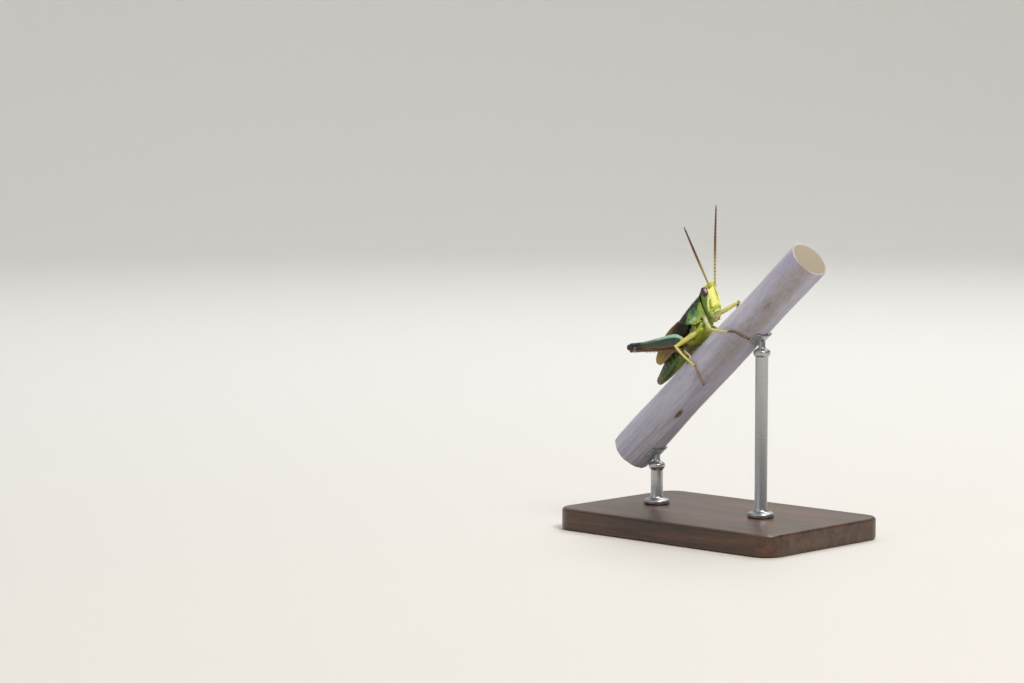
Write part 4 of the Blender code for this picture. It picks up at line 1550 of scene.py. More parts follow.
            skin = Skin(bent_grid(f"abdomen_ring_{index + 1}", 112, 44, domed(ring, 0.02, 0.02, 0.06)))
            share = 1.0 - index / self.ring_count
            skin.press(share * (-0.05 + 0.085 * smooth(skin.along, 0.05, 0.8)))
            skin.press(-0.1 * smooth(skin.along, 0.93, 1.0))
            skin.press(-0.018 * peak(skin.along, 0.86, 0.02))
            front, rear = skin.points[:, 0].max(), skin.points[:, 0].min()
            middle = (front + rear) / 2.0
            fold = -3.62 + 0.04 * index
            skin.ridges(
                View.SIDE,
                ([(front + 0.2, fold - 0.04), (rear - 0.2, fold + 0.02)], 0.07, -0.07 * share - 0.02),
                ([(front + 0.2, fold - 0.2), (rear - 0.2, fold - 0.14)], 0.09, 0.03),
            )
            if index < 8:
                skin.ridges(View.SIDE, ([(front - 0.3, fold + 0.2)], 0.055, -0.07))
                skin.stripes(View.SIDE, ("black", [(front - 0.3, fold + 0.2)], 0.055, 0.9))
            z = skin.points[:, 2]
            skin.mark("belly", smooth(z, -4.0, -4.4) * 0.9)
            skin.mark("dark", smooth(z, -2.9, -2.2) * 0.9)
            skin.stripes(
                View.SIDE,
                ("dark", [(front - 0.35, -3.3), (front - 0.35, -2.5)], 0.22, 0.6),
                ("dark", [(front - 0.1, fold), (rear + 0.1, fold)], 0.06, 0.7),
            )
            skin.washes(View.SIDE, ("ash", [(middle - 0.1, -3.2), (middle - 0.25, -2.6)], 0.16, 0.3))
            if index in (1, 2, 3):
                drift = 0.12 * math.sin(index * 2.4)
                skin.washes(
                    View.SIDE,
                    ("cream", [(middle + drift, fold - 0.4 + drift)], 0.17, 0.42),
                    ("rust", [(middle - 0.1 - drift, fold - 0.66)], 0.15, 0.4),
                )
            skin.mark("ash", smooth(skin.along, 0.84, 0.9) * smooth(skin.along, 1.0, 0.95) * 0.16)
            skin.mark("tail", smooth(index, 4.6, 7.5) * 0.8)
            node = "abdomen_front" if index < 4 else "abdomen_rear"
            self.shop.deliver(skin.done(), "abdomen", "abdomen_cuticle", [node])
        self.tail()

    def tail(self) -> None:
        """The end of the body: the plate above, the cup below and the two short cerci."""
        plate = ((-17.3, 0.0, -2.72), (-17.75, 0.0, -2.86), (-18.05, 0.0, -3.02))
        cup = ((-17.2, 0.0, -3.5), (-17.75, 0.0, -3.36), (-18.1, 0.0, -3.12))
        cercus = ((-17.3, 0.3, -3.02), (-17.65, 0.36, -2.98), (-17.95, 0.24, -2.96))
        for name, path, radii in (
            ("tail_plate", plate, (0.26, 0.22, 0.08)), ("tail_cup", cup, (0.34, 0.28, 0.1)),
            ("cercus_right", mirrored(-1, *cercus), (0.12, 0.09, 0.03)),
            ("cercus_left", cercus, (0.12, 0.09, 0.03)),
        ):
            skin = Skin(bent_grid(name, 28, 24, domed(tube(round_line(path, radii)), 0.05, 0.06, 0.1)))
            skin.mark("tail", 0.8)
            self.shop.deliver(skin.done(), "abdomen", "abdomen_cuticle")

    def build(self) -> None:
        """Makes the whole trunk."""
        self.neck()
        self.pronotum()
        self.breast()
        self.thorax()
        self.abdomen()


@dataclass
class Wings:
    """The two leathery fore wings, folded over the back like a roof, with raised veins.

    The outline has rows of (x at the ridge, x at the edge, half width, ridge, edge), the bends are shares
    of the way (out, down), and the veins are (place at the root, place at the tip, girth).
    """

    shop: Workshop
    outline: Stations = Stations(
        (-8.0, -6.75, 1.7, 0.02, -2.3), (-9.0, -8.1, 1.74, 0.24, -2.56), (-10.0, -9.4, 1.72, 0.4, -2.74),
        (-11.2, -10.8, 1.64, 0.44, -2.86), (-12.4, -12.2, 1.54, 0.28, -2.86),
        (-13.6, -13.6, 1.38, -0.02, -2.7), (-14.5, -14.5, 1.26, -0.34, -2.42),
        (-15.1, -15.1, 1.12, -0.66, -2.12), (-15.4, -15.4, 1.04, -1.12, -1.72),
    )
    bends: Stations = Stations(
        (0.0, 0.0), (0.3, 0.02), (0.55, 0.06), (0.82, 0.15), (0.95, 0.27), (1.0, 0.43), (1.02, 0.62),
        (1.01, 0.82), (0.96, 1.0),
    )
    midline: float = 0.06
    width: float = 3.3
    length: float = 7.4
    rim_length: float = 7.0
    wall: float = 0.1
    veins: tuple[tuple[float, float, float], ...] = (
        (0.06, 0.1, 0.05), (0.2, 0.24, 0.05), (0.33, 0.36, 0.045), (0.47, 0.45, 0.06), (0.6, 0.56, 0.075),
        (0.72, 0.7, 0.06), (0.86, 0.86, 0.055),
    )
    cells: int = 26
    net_girth: float = 0.035
    net_height: float = 0.009

    def surface(self, side: int) -> Shape:
        """One wing's surface, from the ridge of the back to its lower edge."""

        def shape(around: Array, along: Array) -> Array:
            """The wing."""
            x_ridge, x_edge, half_width, ridge, edge = self.outline.at(along).T
            out, down = self.bends.at(around).T
            y = self.midline + out * (half_width - self.midline)
            z = ridge + down * (edge - ridge)
            return np.stack([x_ridge + down * (x_edge - x_ridge), side * y, z], 1)

        return shape

    def vein_map(self, skin: Skin, seed: int) -> tuple[Array, Array]:
        """How high the veins stand and how dark they are, at each point of a wing."""
        draw = random.Random(seed)
        across, along = skin.around, skin.along
        height = np.zeros(len(across))
        lines = [np.zeros(len(across))]
        for root, tip, girth in self.veins:
            line = root + (tip - root) * along + 0.012 * np.sin(along * 9.0 + root * 20.0)
            lines.append(line)
            height += girth * 0.7 * peak(abs(across - line) * self.width, 0.0, girth)
        lines.append(np.ones(len(across)))
        for low, high in zip(lines, lines[1:]):
            inside = (across > low) & (across < high)
            for cell in range(self.cells):
                place = (cell + 0.5 + draw.uniform(-0.3, 0.3)) / self.cells
                lean = draw.uniform(-0.02, 0.02)
                share = (across - low) / np.maximum(high - low, 1e-6)
                gap = abs(along - place - lean * share) * self.length
                height += inside * self.net_height * peak(gap, 0.0, self.net_girth)
        return height, smooth(height, 0.004, 0.045)

    def build(self) -> None:
        """Makes the two wings."""
        for name, side in SIDES.items():
            skin = Skin(bent_grid(f"fore_wing_{name}", 150, 300, self.surface(side)))
            if skin.normals[:, 2].mean() < 0.0:
                skin.normals = -skin.normals
            height, dark = self.vein_map(skin, 7 + side)
            skin.press(height)
            across, along = skin.around, skin.along
            skin.mark("vein", dark * 0.75)
            skin.mark("rust", smooth(along, 0.35, 0.02) * smooth(across, 0.35, 0.6) * 0.6)
            skin.mark("amber", smooth(along, 0.45, 0.8))
            # Painted shadow: the wing's root next to the pronotum is near black.
            skin.mark("wing_root_shadow", smooth(along, 0.3, 0.1) * smooth(across, 0.42, 0.68))
            rim = np.minimum((1.0 - across) * self.width, (1.0 - along) * self.rim_length)
            skin.mark("border", smooth(rim, 0.22, 0.06))
            piece = skin.done()
            apply_modifier(piece, "SOLIDIFY", thickness=self.wall * MM, offset=-1.0)
            self.shop.deliver(piece, "wing", "wing", [f"tegmen_{name}"])


# ---- The legs ----


@dataclass(frozen=True)
class WalkingLeg:
    """Where a fore or middle leg goes, and the (station, angle) places where its foot holds the stem."""

    hip: Point
    trochanter: Point
    knee: Point
    feet: Path


class Grip(Enum):
    """How a foot's parts divide the way from the ankle to the claws, from a first share to a last one."""

    FIRST_PAD = (0.0, 0.47)
    SECOND_PAD = (0.49, 0.66)
    CLAW_JOINT = (0.68, 1.0)


@dataclass
class Legs:
    """The six legs, each of a coxa, a trochanter, a thigh, a shin, a jointed foot and two claws.

    The hind legs are given for the left side. A thigh's profile has rows of (half depth above, half depth
    below, half thickness), evenly spread.
    """

    shop: Workshop
    walking: dict[str, WalkingLeg] = field(default_factory=lambda: {
        "fore_right": WalkingLeg(
            (-4.02, -1.02, -3.02), (-4.14, -1.44, -4.3), (-2.9, -3.62, -6.34),
            ((7.05, 99), (7.3, 119), (7.55, 137)),
        ),
        "fore_left": WalkingLeg(
            (-4.3, 1.0, -2.7), (-3.66, 1.3, -3.25), (-0.78, 3.45, -3.6),
            ((3.75, -34), (3.2, -55), (3.05, -76)),
        ),
        "middle_right": WalkingLeg(
            (-5.2, -0.95, -4.3), (-5.74, -1.92, -4.18), (-9.02, -4.08, -3.98),
            ((-1.8, 84), (-2.45, 110), (-2.95, 131)),
        ),
        "middle_left": WalkingLeg(
            (-5.2, 0.95, -4.3), (-5.74, 1.92, -4.18), (-9.02, 4.08, -3.98),
            ((-1.6, -84), (-2.6, -96), (-3.5, -106)),
        ),
    })
    hind_hip: Point = (-7.55, 1.81, -4.51)
    hind_trochanter: Point = (-8.05, 2.32, -4.0)
    thigh_root: Point = (-8.43, 2.46, -3.41)
    hind_knee: Point = (-16.82, 2.46, 2.98)
    shin_top: Point = (-16.78, 2.46, 2.42)
    heel: Point = (-9.36, 2.46, -4.38)
    hind_feet: Path = ((-2.46, 40), (-2.8, 56))
    thigh_profile: Stations = Stations(
        (0.42, 0.42, 0.4), (0.86, 0.74, 0.56), (1.0, 0.84, 0.63), (0.99, 0.86, 0.64), (0.93, 0.84, 0.62),
        (0.85, 0.78, 0.58), (0.76, 0.7, 0.52), (0.67, 0.62, 0.46), (0.6, 0.55, 0.41), (0.54, 0.48, 0.37),
        (0.53, 0.43, 0.355), (0.59, 0.41, 0.37), (0.65, 0.41, 0.375), (0.5, 0.31, 0.31),
    )
    hind_up: Point = (0.606, 0.0, 0.795)
    hind_shin_radii: tuple[float, ...] = (0.27, 0.24, 0.2, 0.19, 0.19, 0.2, 0.21, 0.23, 0.24)
    slim_profile: tuple[Point, ...] = (
        (0.25, 0.25, 0.23), (0.32, 0.32, 0.3), (0.33, 0.33, 0.3), (0.31, 0.3, 0.28),
        (0.27, 0.26, 0.25), (0.26, 0.25, 0.25), (0.25, 0.24, 0.24),
    )
    slim_shin_radii: tuple[float, ...] = (0.21, 0.19, 0.16, 0.145, 0.145, 0.155, 0.165)
    slim_shin_bow: float = 0.16
    slim_thigh_gap: float = 0.42
    hind_thigh_gap: Point = (0.1, 0.0, -0.08)
    middle_stoutness: float = 1.14
    root_girths: dict[str, float] = field(
        default_factory=lambda: {"fore": 0.72, "middle": 0.92, "hind": 1.04}
    )
    ankle_lift: float = 0.32
    foot_lift: float = 0.22
    foot_girth: float = 0.125
    foot_tints: dict[str, tuple[str, float]] = field(default_factory=lambda: {
        "fore": ("black", 0.45), "middle": ("straw", 0.5), "hind": ("pale", 0.85),
    })
    dome_share: float = 0.07

    def limb(
        self, name: str, line: Stations, up: Point, faces: tuple[int, int], ends: Span, corner: float = 1.0
    ) -> Skin:
        """Starts a limb.

        Args:
            name: The piece's name.
            line: Its stations.
            up: The way its upper side faces.
            faces: Faces round it and along it.
            ends: How far its two end domes stand out.
            corner: Under 1 squares its section.

        Returns:
            Its skin, to be carved and painted.
        """
        return Skin(bent_grid(name, *faces, domed(tube(line, up, corner), *ends, share=self.dome_share)))

    def spines(
        self, name: str, line: Stations, up: Point, *rows: tuple[float, float, float, int, float]
    ) -> None:
        """Two rows of movable spines on a shin, and its end spurs.

        Args:
            name: The leg's name.
            line: The shin's stations.
            up: The way its upper side faces.
            rows: Rows of (angle from above in degrees, first share, last share, count, length).
        """
        shape = tube(line, up)
        places = []
        for angle, first, last, count, length in rows:
            turns = np.full(count, angle / 360.0)
            shares = np.linspace(first, last, count)
            seats, hearts = shape(turns, shares), line.at(shares)[:, :3]
            aheads = line.at(shares + 0.02)[:, :3] - line.at(shares - 0.02)[:, :3]
            for seat, heart, ahead in zip(seats, hearts, aheads):
                out = Vector(seat - heart).normalized()
                lean = out + Vector(ahead).normalized() * 0.9
                size = Matrix.Diagonal((length * 1.5, length * 1.5, length, 1.0))
                place = Matrix.Translation(Vector(seat) * MM - out * 0.02 * MM)
                places.append(place @ turn_to(lean, Vector(ahead)) @ size)
        self.shop.deliver(copies(f"shin_spines_{name}", bristle_model(8), places), "spine", "shin")

    def bristles(
        self, name: str, skin: Skin, count: int, length: Span, lean: Point, seed: int, girth: float
    ) -> None:
        """Grows bristles on a shin that has been set in place."""
        piece = coat(f"shin_bristles_{name}", skin.piece, count, length, lean, seed, girth=girth)
        piece.data.transform(self.shop.body.inverted())
        self.shop.deliver(piece, "hair", "shin")

    def root(self, name: str, hip: Point, trochanter: Point, thigh_start: Vector) -> None:
        """The coxa and the small trochanter below it."""
        joint, up = Vector(trochanter), (1.0, 0.0, 0.2)
        girth = self.root_girths[name.split("_")[0]]
        radii = (0.36 * girth, 0.44 * girth, 0.33 * girth)
        line = round_line([hip, Vector(hip).lerp(joint, 0.55), trochanter], radii)
        skin = self.limb(f"coxa_{name}", line, up, (44, 36), (0.1, 0.16))
        skin.press(-0.06 * peak(skin.along, 0.8, 0.03))
        skin.press(0.03 * peak(skin.along, 0.87, 0.03))
        skin.press(-0.05 * peak(skin.rise, 0.0, 0.2) * smooth(skin.along, 0.75, 0.5))
        self.paint_root(skin, name)
        self.shop.deliver(skin.done(), "leg", "thorax_cuticle", [f"coxa_{name}"])
        start = joint.lerp(thigh_start, -0.1)
        radii = (0.26 * girth, 0.32 * girth, 0.25 * girth)
        line = round_line([start, start.lerp(thigh_start, 0.55), thigh_start], radii)
        skin = self.limb(f"trochanter_{name}", line, up, (40, 24), (0.12, 0.12))
        self.paint_root(skin, name)
        self.shop.deliver(skin.done(), "leg", "leg")

    def paint_root(self, skin: Skin, name: str) -> None:
        """The colours near a leg's root: whitish green on a fore leg, olive elsewhere, browner behind."""
        if name.startswith("fore"):
            skin.mark("green", 0.45)
            if name.endswith("right"):
                skin.mark("pale", 0.6)
        elif name.startswith("middle"):
            skin.mark("olive", 0.9)
            skin.mark("black", peak(skin.along, 0.8, 0.05) * smooth(skin.out, 0.2, 0.9) * 0.8)
        else:
            skin.mark("olive", 0.85)
            skin.mark("brown", 0.42)

    def walking_leg(self, name: str, leg: WalkingLeg) -> None:
        """One fore or middle leg."""
        outward = Vector((0.0, math.copysign(1.0, leg.hip[1]), 0.0))
        joint, knee = Vector(leg.trochanter), Vector(leg.knee)
        ankle = self.shop.pose.on_stem(*leg.feet[0], self.ankle_lift)
        thigh_start = joint + (knee - joint).normalized() * self.slim_thigh_gap
        self.root(name, leg.hip, leg.trochanter, thigh_start)
        up = (knee - joint).cross(outward).normalized()
        if up.z < 0.0:
            up = -up

        stout = 1.0 if name.startswith("fore") else self.middle_stoutness
        line = along_line(thigh_start, leg.knee, np.array(self.slim_profile) * stout)
        skin = self.limb(f"thigh_{name}", line, up, (56, 88), (0.08, 0.2))
        skin.press(0.03 * peak(abs(skin.rise), 0.62, 0.12) * smooth(skin.along, 0.05, 0.2))
        skin.press(-0.05 * peak(skin.along, 0.87, 0.025))
        skin.press(0.03 * peak(skin.along, 0.93, 0.04))
        self.paint_thigh(skin, name)
        self.shop.deliver(skin.done(), "leg", "leg", [f"femur_{name}"])

        shin = ankle - knee
        bow = shin.cross(outward).normalized() * self.slim_shin_bow
        shares = np.linspace(0.0, 1.0, len(self.slim_shin_radii))
        points = [knee.lerp(ankle, share) + bow * math.sin(math.pi * share) for share in shares]
        line = round_line(points, [stout * radius for radius in self.slim_shin_radii])
        above = knee - thigh_start
        above = (above - shin * above.dot(shin) / shin.length_squared).normalized()
        skin = self.limb(f"shin_{name}", line, above, (40, 96), (0.14, 0.1))
        skin.press(-0.04 * peak(skin.along, 0.12, 0.02))
        skin.press(-0.02 * peak(skin.out, 0.0, 0.3))
        self.paint_shin(skin, name)
        self.shop.deliver(skin.done(), "leg", "shin", [f"tibia_{name}"])
        self.spines(
            name, line, above, (155.0, 0.42, 0.94, 6, 0.34), (205.0, 0.42, 0.94, 6, 0.34),
            (120.0, 0.97, 0.97, 1, 0.26), (240.0, 0.97, 0.97, 1, 0.26),
        )
        self.bristles(name, skin, 220, (0.07, 0.16), shin.normalized() * 0.9, len(name), 0.22)
        path = [self.shop.pose.on_stem(*place, self.foot_lift) for place in leg.feet[1:]]
        self.foot(name, [ankle, *path], leg.feet[-1])

    def paint_thigh(self, skin: Skin, name: str) -> None:
        """The colours of a slim thigh."""
        along, height = skin.along, skin.rise
        if name == "fore_right":
            skin.mark("pale", smooth(along, 0.95, 0.5) * 0.8)
            skin.mark("green", smooth(height, 0.2, 0.8) * 0.6)
            skin.mark("black", smooth(along, 0.93, 0.99) * smooth(height, 0.2, 0.8) * 0.7)
        elif name == "fore_left":
            skin.mark("green", smooth(along, 0.5, 0.1) * 0.4)
            skin.mark("brown", smooth(along, 0.84, 0.96) * 0.6)
        else:
            skin.mark("rose", smooth(along, 0.22, 0.04) * 0.6)
            skin.mark("green", smooth(along, 0.1, 0.3) * smooth(along, 0.7, 0.4) * 0.35)
            skin.mark("black", peak(along, 0.16, 0.02) * smooth(height, 0.4, 0.8) * 0.8)
            skin.mark("brown", smooth(along, 0.9, 0.97) * 0.4)

    def paint_shin(self, skin: Skin, name: str) -> None:
        """The colours of a slim shin, with painted shade on the lower side of the fore shins."""
        along, height = skin.along, skin.rise
        if name == "fore_left":
            # The left fore shin lies folded in shade under its thigh: its brown is partly its own colour and
            # partly painted shade, and the black on its lower side is painted shade.
            skin.mark("brown", smooth(along, 0.05, 0.2) * 0.95)
            skin.mark("black", smooth(height, -0.2, -0.8) * 0.6)
        elif name == "fore_right":
            # Painted shade: the right fore shin's lower side is brown.
            skin.mark("brown", smooth(height, 0.1, -0.4) * smooth(along, 0.2, 0.5) * 0.95)
            skin.mark("brown", smooth(along, 0.55, 0.9))
        else:
            skin.mark("brown", smooth(along, 0.8, 1.0) * 0.75)
            skin.mark("brown", smooth(height, -0.4, -0.9) * 0.5)

    def foot(self, name: str, path: Sequence[Vector], hold: Span) -> None:
        """Adds a foot of three joints with pads below, and a pad between two claws, all pressed to the stem.

        Args:
            name: The leg's name.
            path: Points along the foot, from the ankle.
            hold: The place on the stem that its claws hold, as (station, angle).
        """
        knots = np.array(path)
        reach = np.concatenate([[0.0], np.cumsum(np.linalg.norm(np.diff(knots, axis=0), axis=1))])
        reach /= reach[-1]
        away = self.shop.pose.on_stem(*hold, 1.0) - self.shop.pose.on_stem(*hold, 0.0)

        def at(share: float) -> Vector:
            """A place along the foot."""
            return Vector([np.interp(share, reach, knots[:, axis]) for axis in range(3)])

        joints = []
        for part in Grip:
            shares = np.linspace(*part.value, 5)
            girth = self.foot_girth * (0.86 if part is Grip.CLAW_JOINT else 1.0)
            radii = [girth * 0.72, girth * 0.9, girth, girth * 1.04, girth * 0.92]
            line = Stations(*[(*at(share), r, r * 1.15, r) for share, r in zip(shares, radii)])
            skin = self.limb("joint", line, away, (32, 36), (0.04, 0.07))
            below = smooth(skin.rise, -0.2, -0.8)
            if part is Grip.FIRST_PAD:
                skin.press(0.05 * abs(np.sin(skin.along * TAU * 1.5)) * below)
            if part is Grip.SECOND_PAD:
                skin.press(0.05 * below)
            skin.mark("pale", smooth(skin.rise, -0.3, -0.9) * 0.7)
            skin.mark(*self.foot_tints[name.split("_")[0]])
            joints.append(skin.done())
        self.shop.deliver(joined(f"foot_{name}", joints), "foot", "foot", [f"tarsus_{name}"])
        tip = at(1.0)
        ahead = (tip - at(0.9)).normalized()
        away.normalize()
        side = ahead.cross(away).normalized()
        form = tube(round_line([tip, tip + ahead * 0.16 - away * 0.06], [0.07, 0.1]), away)
        skin = Skin(bent_grid(f"foot_pad_{name}", 24, 20, domed(form, 0.04, 0.07, 0.2)))
        skin.mark("black", 0.6)
        self.shop.deliver(skin.done(), "foot", "foot")
        for hand, sign in (("inner", -1.0), ("outer", 1.0)):
            out = side * sign
            form = tube(round_line([
                tip - ahead * 0.04, tip + ahead * 0.14 + out * 0.1 + away * 0.05,
                tip + ahead * 0.27 + out * 0.17 - away * 0.02, tip + ahead * 0.33 + out * 0.19 - away * 0.17,
            ], [0.06, 0.055, 0.038, 0.008]), away)
            claw = bent_grid(f"claw_{hand}_{name}", 16, 24, domed(form, 0.02, 0.01, 0.1))
            self.shop.deliver(claw, "claw", "foot")

    def hind_leg(self, name: str, side: int) -> None:
        """One jumping leg: a deep thigh with a herringbone flank, and a spiny shin folded below it."""
        label = f"hind_{name}"
        hip, trochanter, root, knee, shin_top, heel = mirrored(
            side, self.hind_hip, self.hind_trochanter, self.thigh_root, self.hind_knee, self.shin_top,
            self.heel,
        )
        self.root(label, hip, trochanter, Vector(root) + Vector(self.hind_thigh_gap))
        line = along_line(root, knee, self.thigh_profile.rows)
        skin = self.limb(f"thigh_{label}", line, self.hind_up, (144, 260), (0.16, 0.26), corner=0.92)
        along = np.clip((skin.along - self.dome_share) / (1.0 - 2.0 * self.dome_share), 0.0, 1.0)
        height, out = skin.rise, skin.out
        flank_face = smooth(abs(out), 0.25, 0.6)
        body_part = smooth(along, 0.03, 0.12) * smooth(along, 0.9, 0.8)
        for keel, rise in ((0.66, 0.07), (-0.66, 0.06)):
            skin.press(rise * peak(height, keel, 0.07) * body_part)
            skin.press(-0.05 * peak(height, keel * 0.78, 0.09) * body_part)
        skin.press(0.07 * peak(out, 0.0, 0.12) * (height > 0.0) * body_part)
        chevron = np.cos(TAU * (along * 10.5 + abs(height) * 0.75) / 0.52)
        inside = smooth(abs(height), 0.6, 0.48)
        skin.press(0.02 * chevron * inside * flank_face * body_part * smooth(along, 0.82, 0.7))
        skin.press(-0.07 * peak(along, 0.885, 0.012) * smooth(abs(out), 0.2, 0.5))
        skin.press(0.05 * peak(along, 0.94, 0.035) * smooth(abs(height), 0.2, 0.6))
        skin.press(-0.06 * peak(height, 0.0, 0.16) * smooth(along, 0.9, 0.95))

        skin.mark("teal", smooth(height, 0.5, 0.62) * smooth(along, 0.6, 0.36))
        skin.mark("olive", smooth(height, 0.35, 0.55) * smooth(along, 0.34, 0.58))
        skin.mark("olive", inside * np.maximum(chevron, 0.0) * 0.36)
        skin.mark("brown", smooth(height, -0.05, -0.3))
        skin.mark("line", peak(height, -0.6, 0.05) * 0.55 * body_part)
        skin.mark("russet", smooth(height, -0.74, -0.86))
        skin.mark("straw", smooth(along, 0.05, 0.0) * 0.7)
        skin.mark("knee", smooth(along, 0.64, 0.86))
        # Painted highlight: a teal patch on the top of the black knee.
        skin.mark("knee_highlight", smooth(height, 0.66, 0.9) * smooth(along, 0.84, 0.9) * 0.95)
        skin.mark("rose", peak(along, 0.86, 0.018) * peak(height, -0.25, 0.25))
        self.shop.deliver(skin.done(), "thigh", "thigh", [f"femur_{label}"])

        start, end = Vector(shin_top), Vector(heel)
        shares = np.linspace(0.0, 1.0, len(self.hind_shin_radii))
        line = round_line([start.lerp(end, share) for share in shares], self.hind_shin_radii)
        skin = self.limb(f"shin_{label}", line, self.hind_up, (48, 150), (0.16, 0.12))
        skin.press(-0.05 * peak(skin.along, 0.1, 0.012))
        skin.mark("black", smooth(skin.along, 0.1, 0.06))
        skin.mark("pale", peak(skin.along, 0.15, 0.03) * 0.5)
        skin.mark("straw", smooth(skin.rise, 0.1, 0.8) * 0.6)
        self.shop.deliver(skin.done(), "shin", "shin", [f"tibia_{label}"])
        self.spines(
            label, line, self.hind_up, (152.0, 0.28, 0.95, 11, 0.5), (208.0, 0.28, 0.95, 10, 0.5),
            (130.0, 0.985, 0.985, 1, 0.55), (165.0, 0.99, 0.99, 1, 0.7), (195.0, 0.99, 0.99, 1, 0.7),
            (230.0, 0.985, 0.985, 1, 0.55),
        )
        self.bristles(label, skin, 320, (0.1, 0.22), (0.7, 0.0, -0.6), 5, 0.2)
        feet = [(station, -side * angle) for station, angle in self.hind_feet]
        path = [self.shop.pose.on_stem(*place, self.foot_lift) for place in feet]
        self.foot(label, [end + (path[0] - end) * 0.06, *path], feet[-1])

    def build(self) -> None:
        """Makes all six legs."""
        for name, leg in self.walking.items():
            self.walking_leg(name, leg)
        for name, side in SIDES.items():
            self.hind_leg(name, side)


# ---- The stem, the stand and the studio ----


@dataclass
class Stem:
    """The cut length of dead stem that the insect holds, ribbed with fibres and felted with down.

    The ribs are (count round the stem, depth, start, drift), and the stains are (station, angle, reach,
    width, strength).
    """

    shop: Workshop
    ribs: tuple[tuple[int, float, float, float], ...] = (
        (5, 0.035, 0.4, 0.05), (11, 0.022, 1.9, -0.07), (19, 0.018, 4.0, 0.04), (31, 0.014, 2.6, -0.05),
        (43, 0.01, 5.2, 0.03),
    )
    stains: tuple[tuple[float, float, float, float, float], ...] = (
        (-9.8, 141.0, 1.3, 0.42, 0.62), (-1.0, 128.0, 1.7, 0.8, 0.24), (9.6, 122.0, 2.0, 0.7, 0.26),
        (13.4, 118.0, 2.4, 0.6, 0.24), (-15.0, -60.0, 2.8, 0.8, 0.3), (7.0, -110.0, 2.2, 0.7, 0.28),
    )
    mean_radius: float = 3.0
    hairs: int = 14000
    bare_end: float = 21.7

    def surface(self, around: Array, along: Array) -> Array:
        """The stem's ribbed surface, in its own frame."""
        pose = self.shop.pose
        station = (along - 0.5) * pose.stem_length
        radius = pose.stem_radius_low + (pose.stem_radius_high - pose.stem_radius_low) * along
        relief = np.zeros(len(around))
        for count, depth, start, drift in self.ribs:
            relief += depth * np.sin(count * TAU * around + start + station * drift * count / 5.0)
        relief += 0.05 * np.sin(station * 0.31 + 1.0) * np.sin(TAU * around * 2.0 + 0.5)
        radius = radius + relief - 0.06
        turn = TAU * around
        return np.stack([station, -radius * np.sin(turn), radius * np.cos(turn)], 1)

    def build(self) -> None:
        """Makes the stem and its down."""
        skin = Skin(bent_grid("cut_stem", 200, 380, domed(self.surface, 0.12, 0.12, 0.03)))
        x, y, z = skin.points.T
        end = self.shop.pose.stem_length / 2.0
        skin.mark("pith", smooth(abs(x), end - 0.04, end + 0.02) * smooth(np.hypot(y, z), 2.75, 2.5))
        turn = np.degrees(np.arctan2(-y, z))
        # Painted shade: the stem's lower sides are warmer and darker.
        skin.mark("lower_side_shade", smooth(abs(turn - 125.0), 60.0, 10.0) * smooth(x, -16.0, 4.0) * 0.5)
        skin.mark("lower_side_shade", smooth(abs(turn + 100.0), 60.0, 10.0) * 0.45)
        for place, angle, reach, width, strength in self.stains:
            across = np.radians(turn - angle) * self.mean_radius
            skin.mark("stain", smooth(np.hypot((x - place) / reach, across / width), 1.4, 0.3) * strength)
        piece = self.shop.deliver(skin.done(), "stem", "stem", ["perch"], self.shop.stem)
        piece.data.transform(self.shop.stem.inverted())
        down = coat(
            "stem_down", piece, self.hairs, (0.07, 0.2), (0.25, 0.0, 0.0), 11,
            keep=lambda place, normal: abs(place.x) < self.bare_end, girth=0.12,
        )
        piece.data.transform(self.shop.stem)
        self.shop.deliver(down, "down", "stem", place=self.shop.stem)


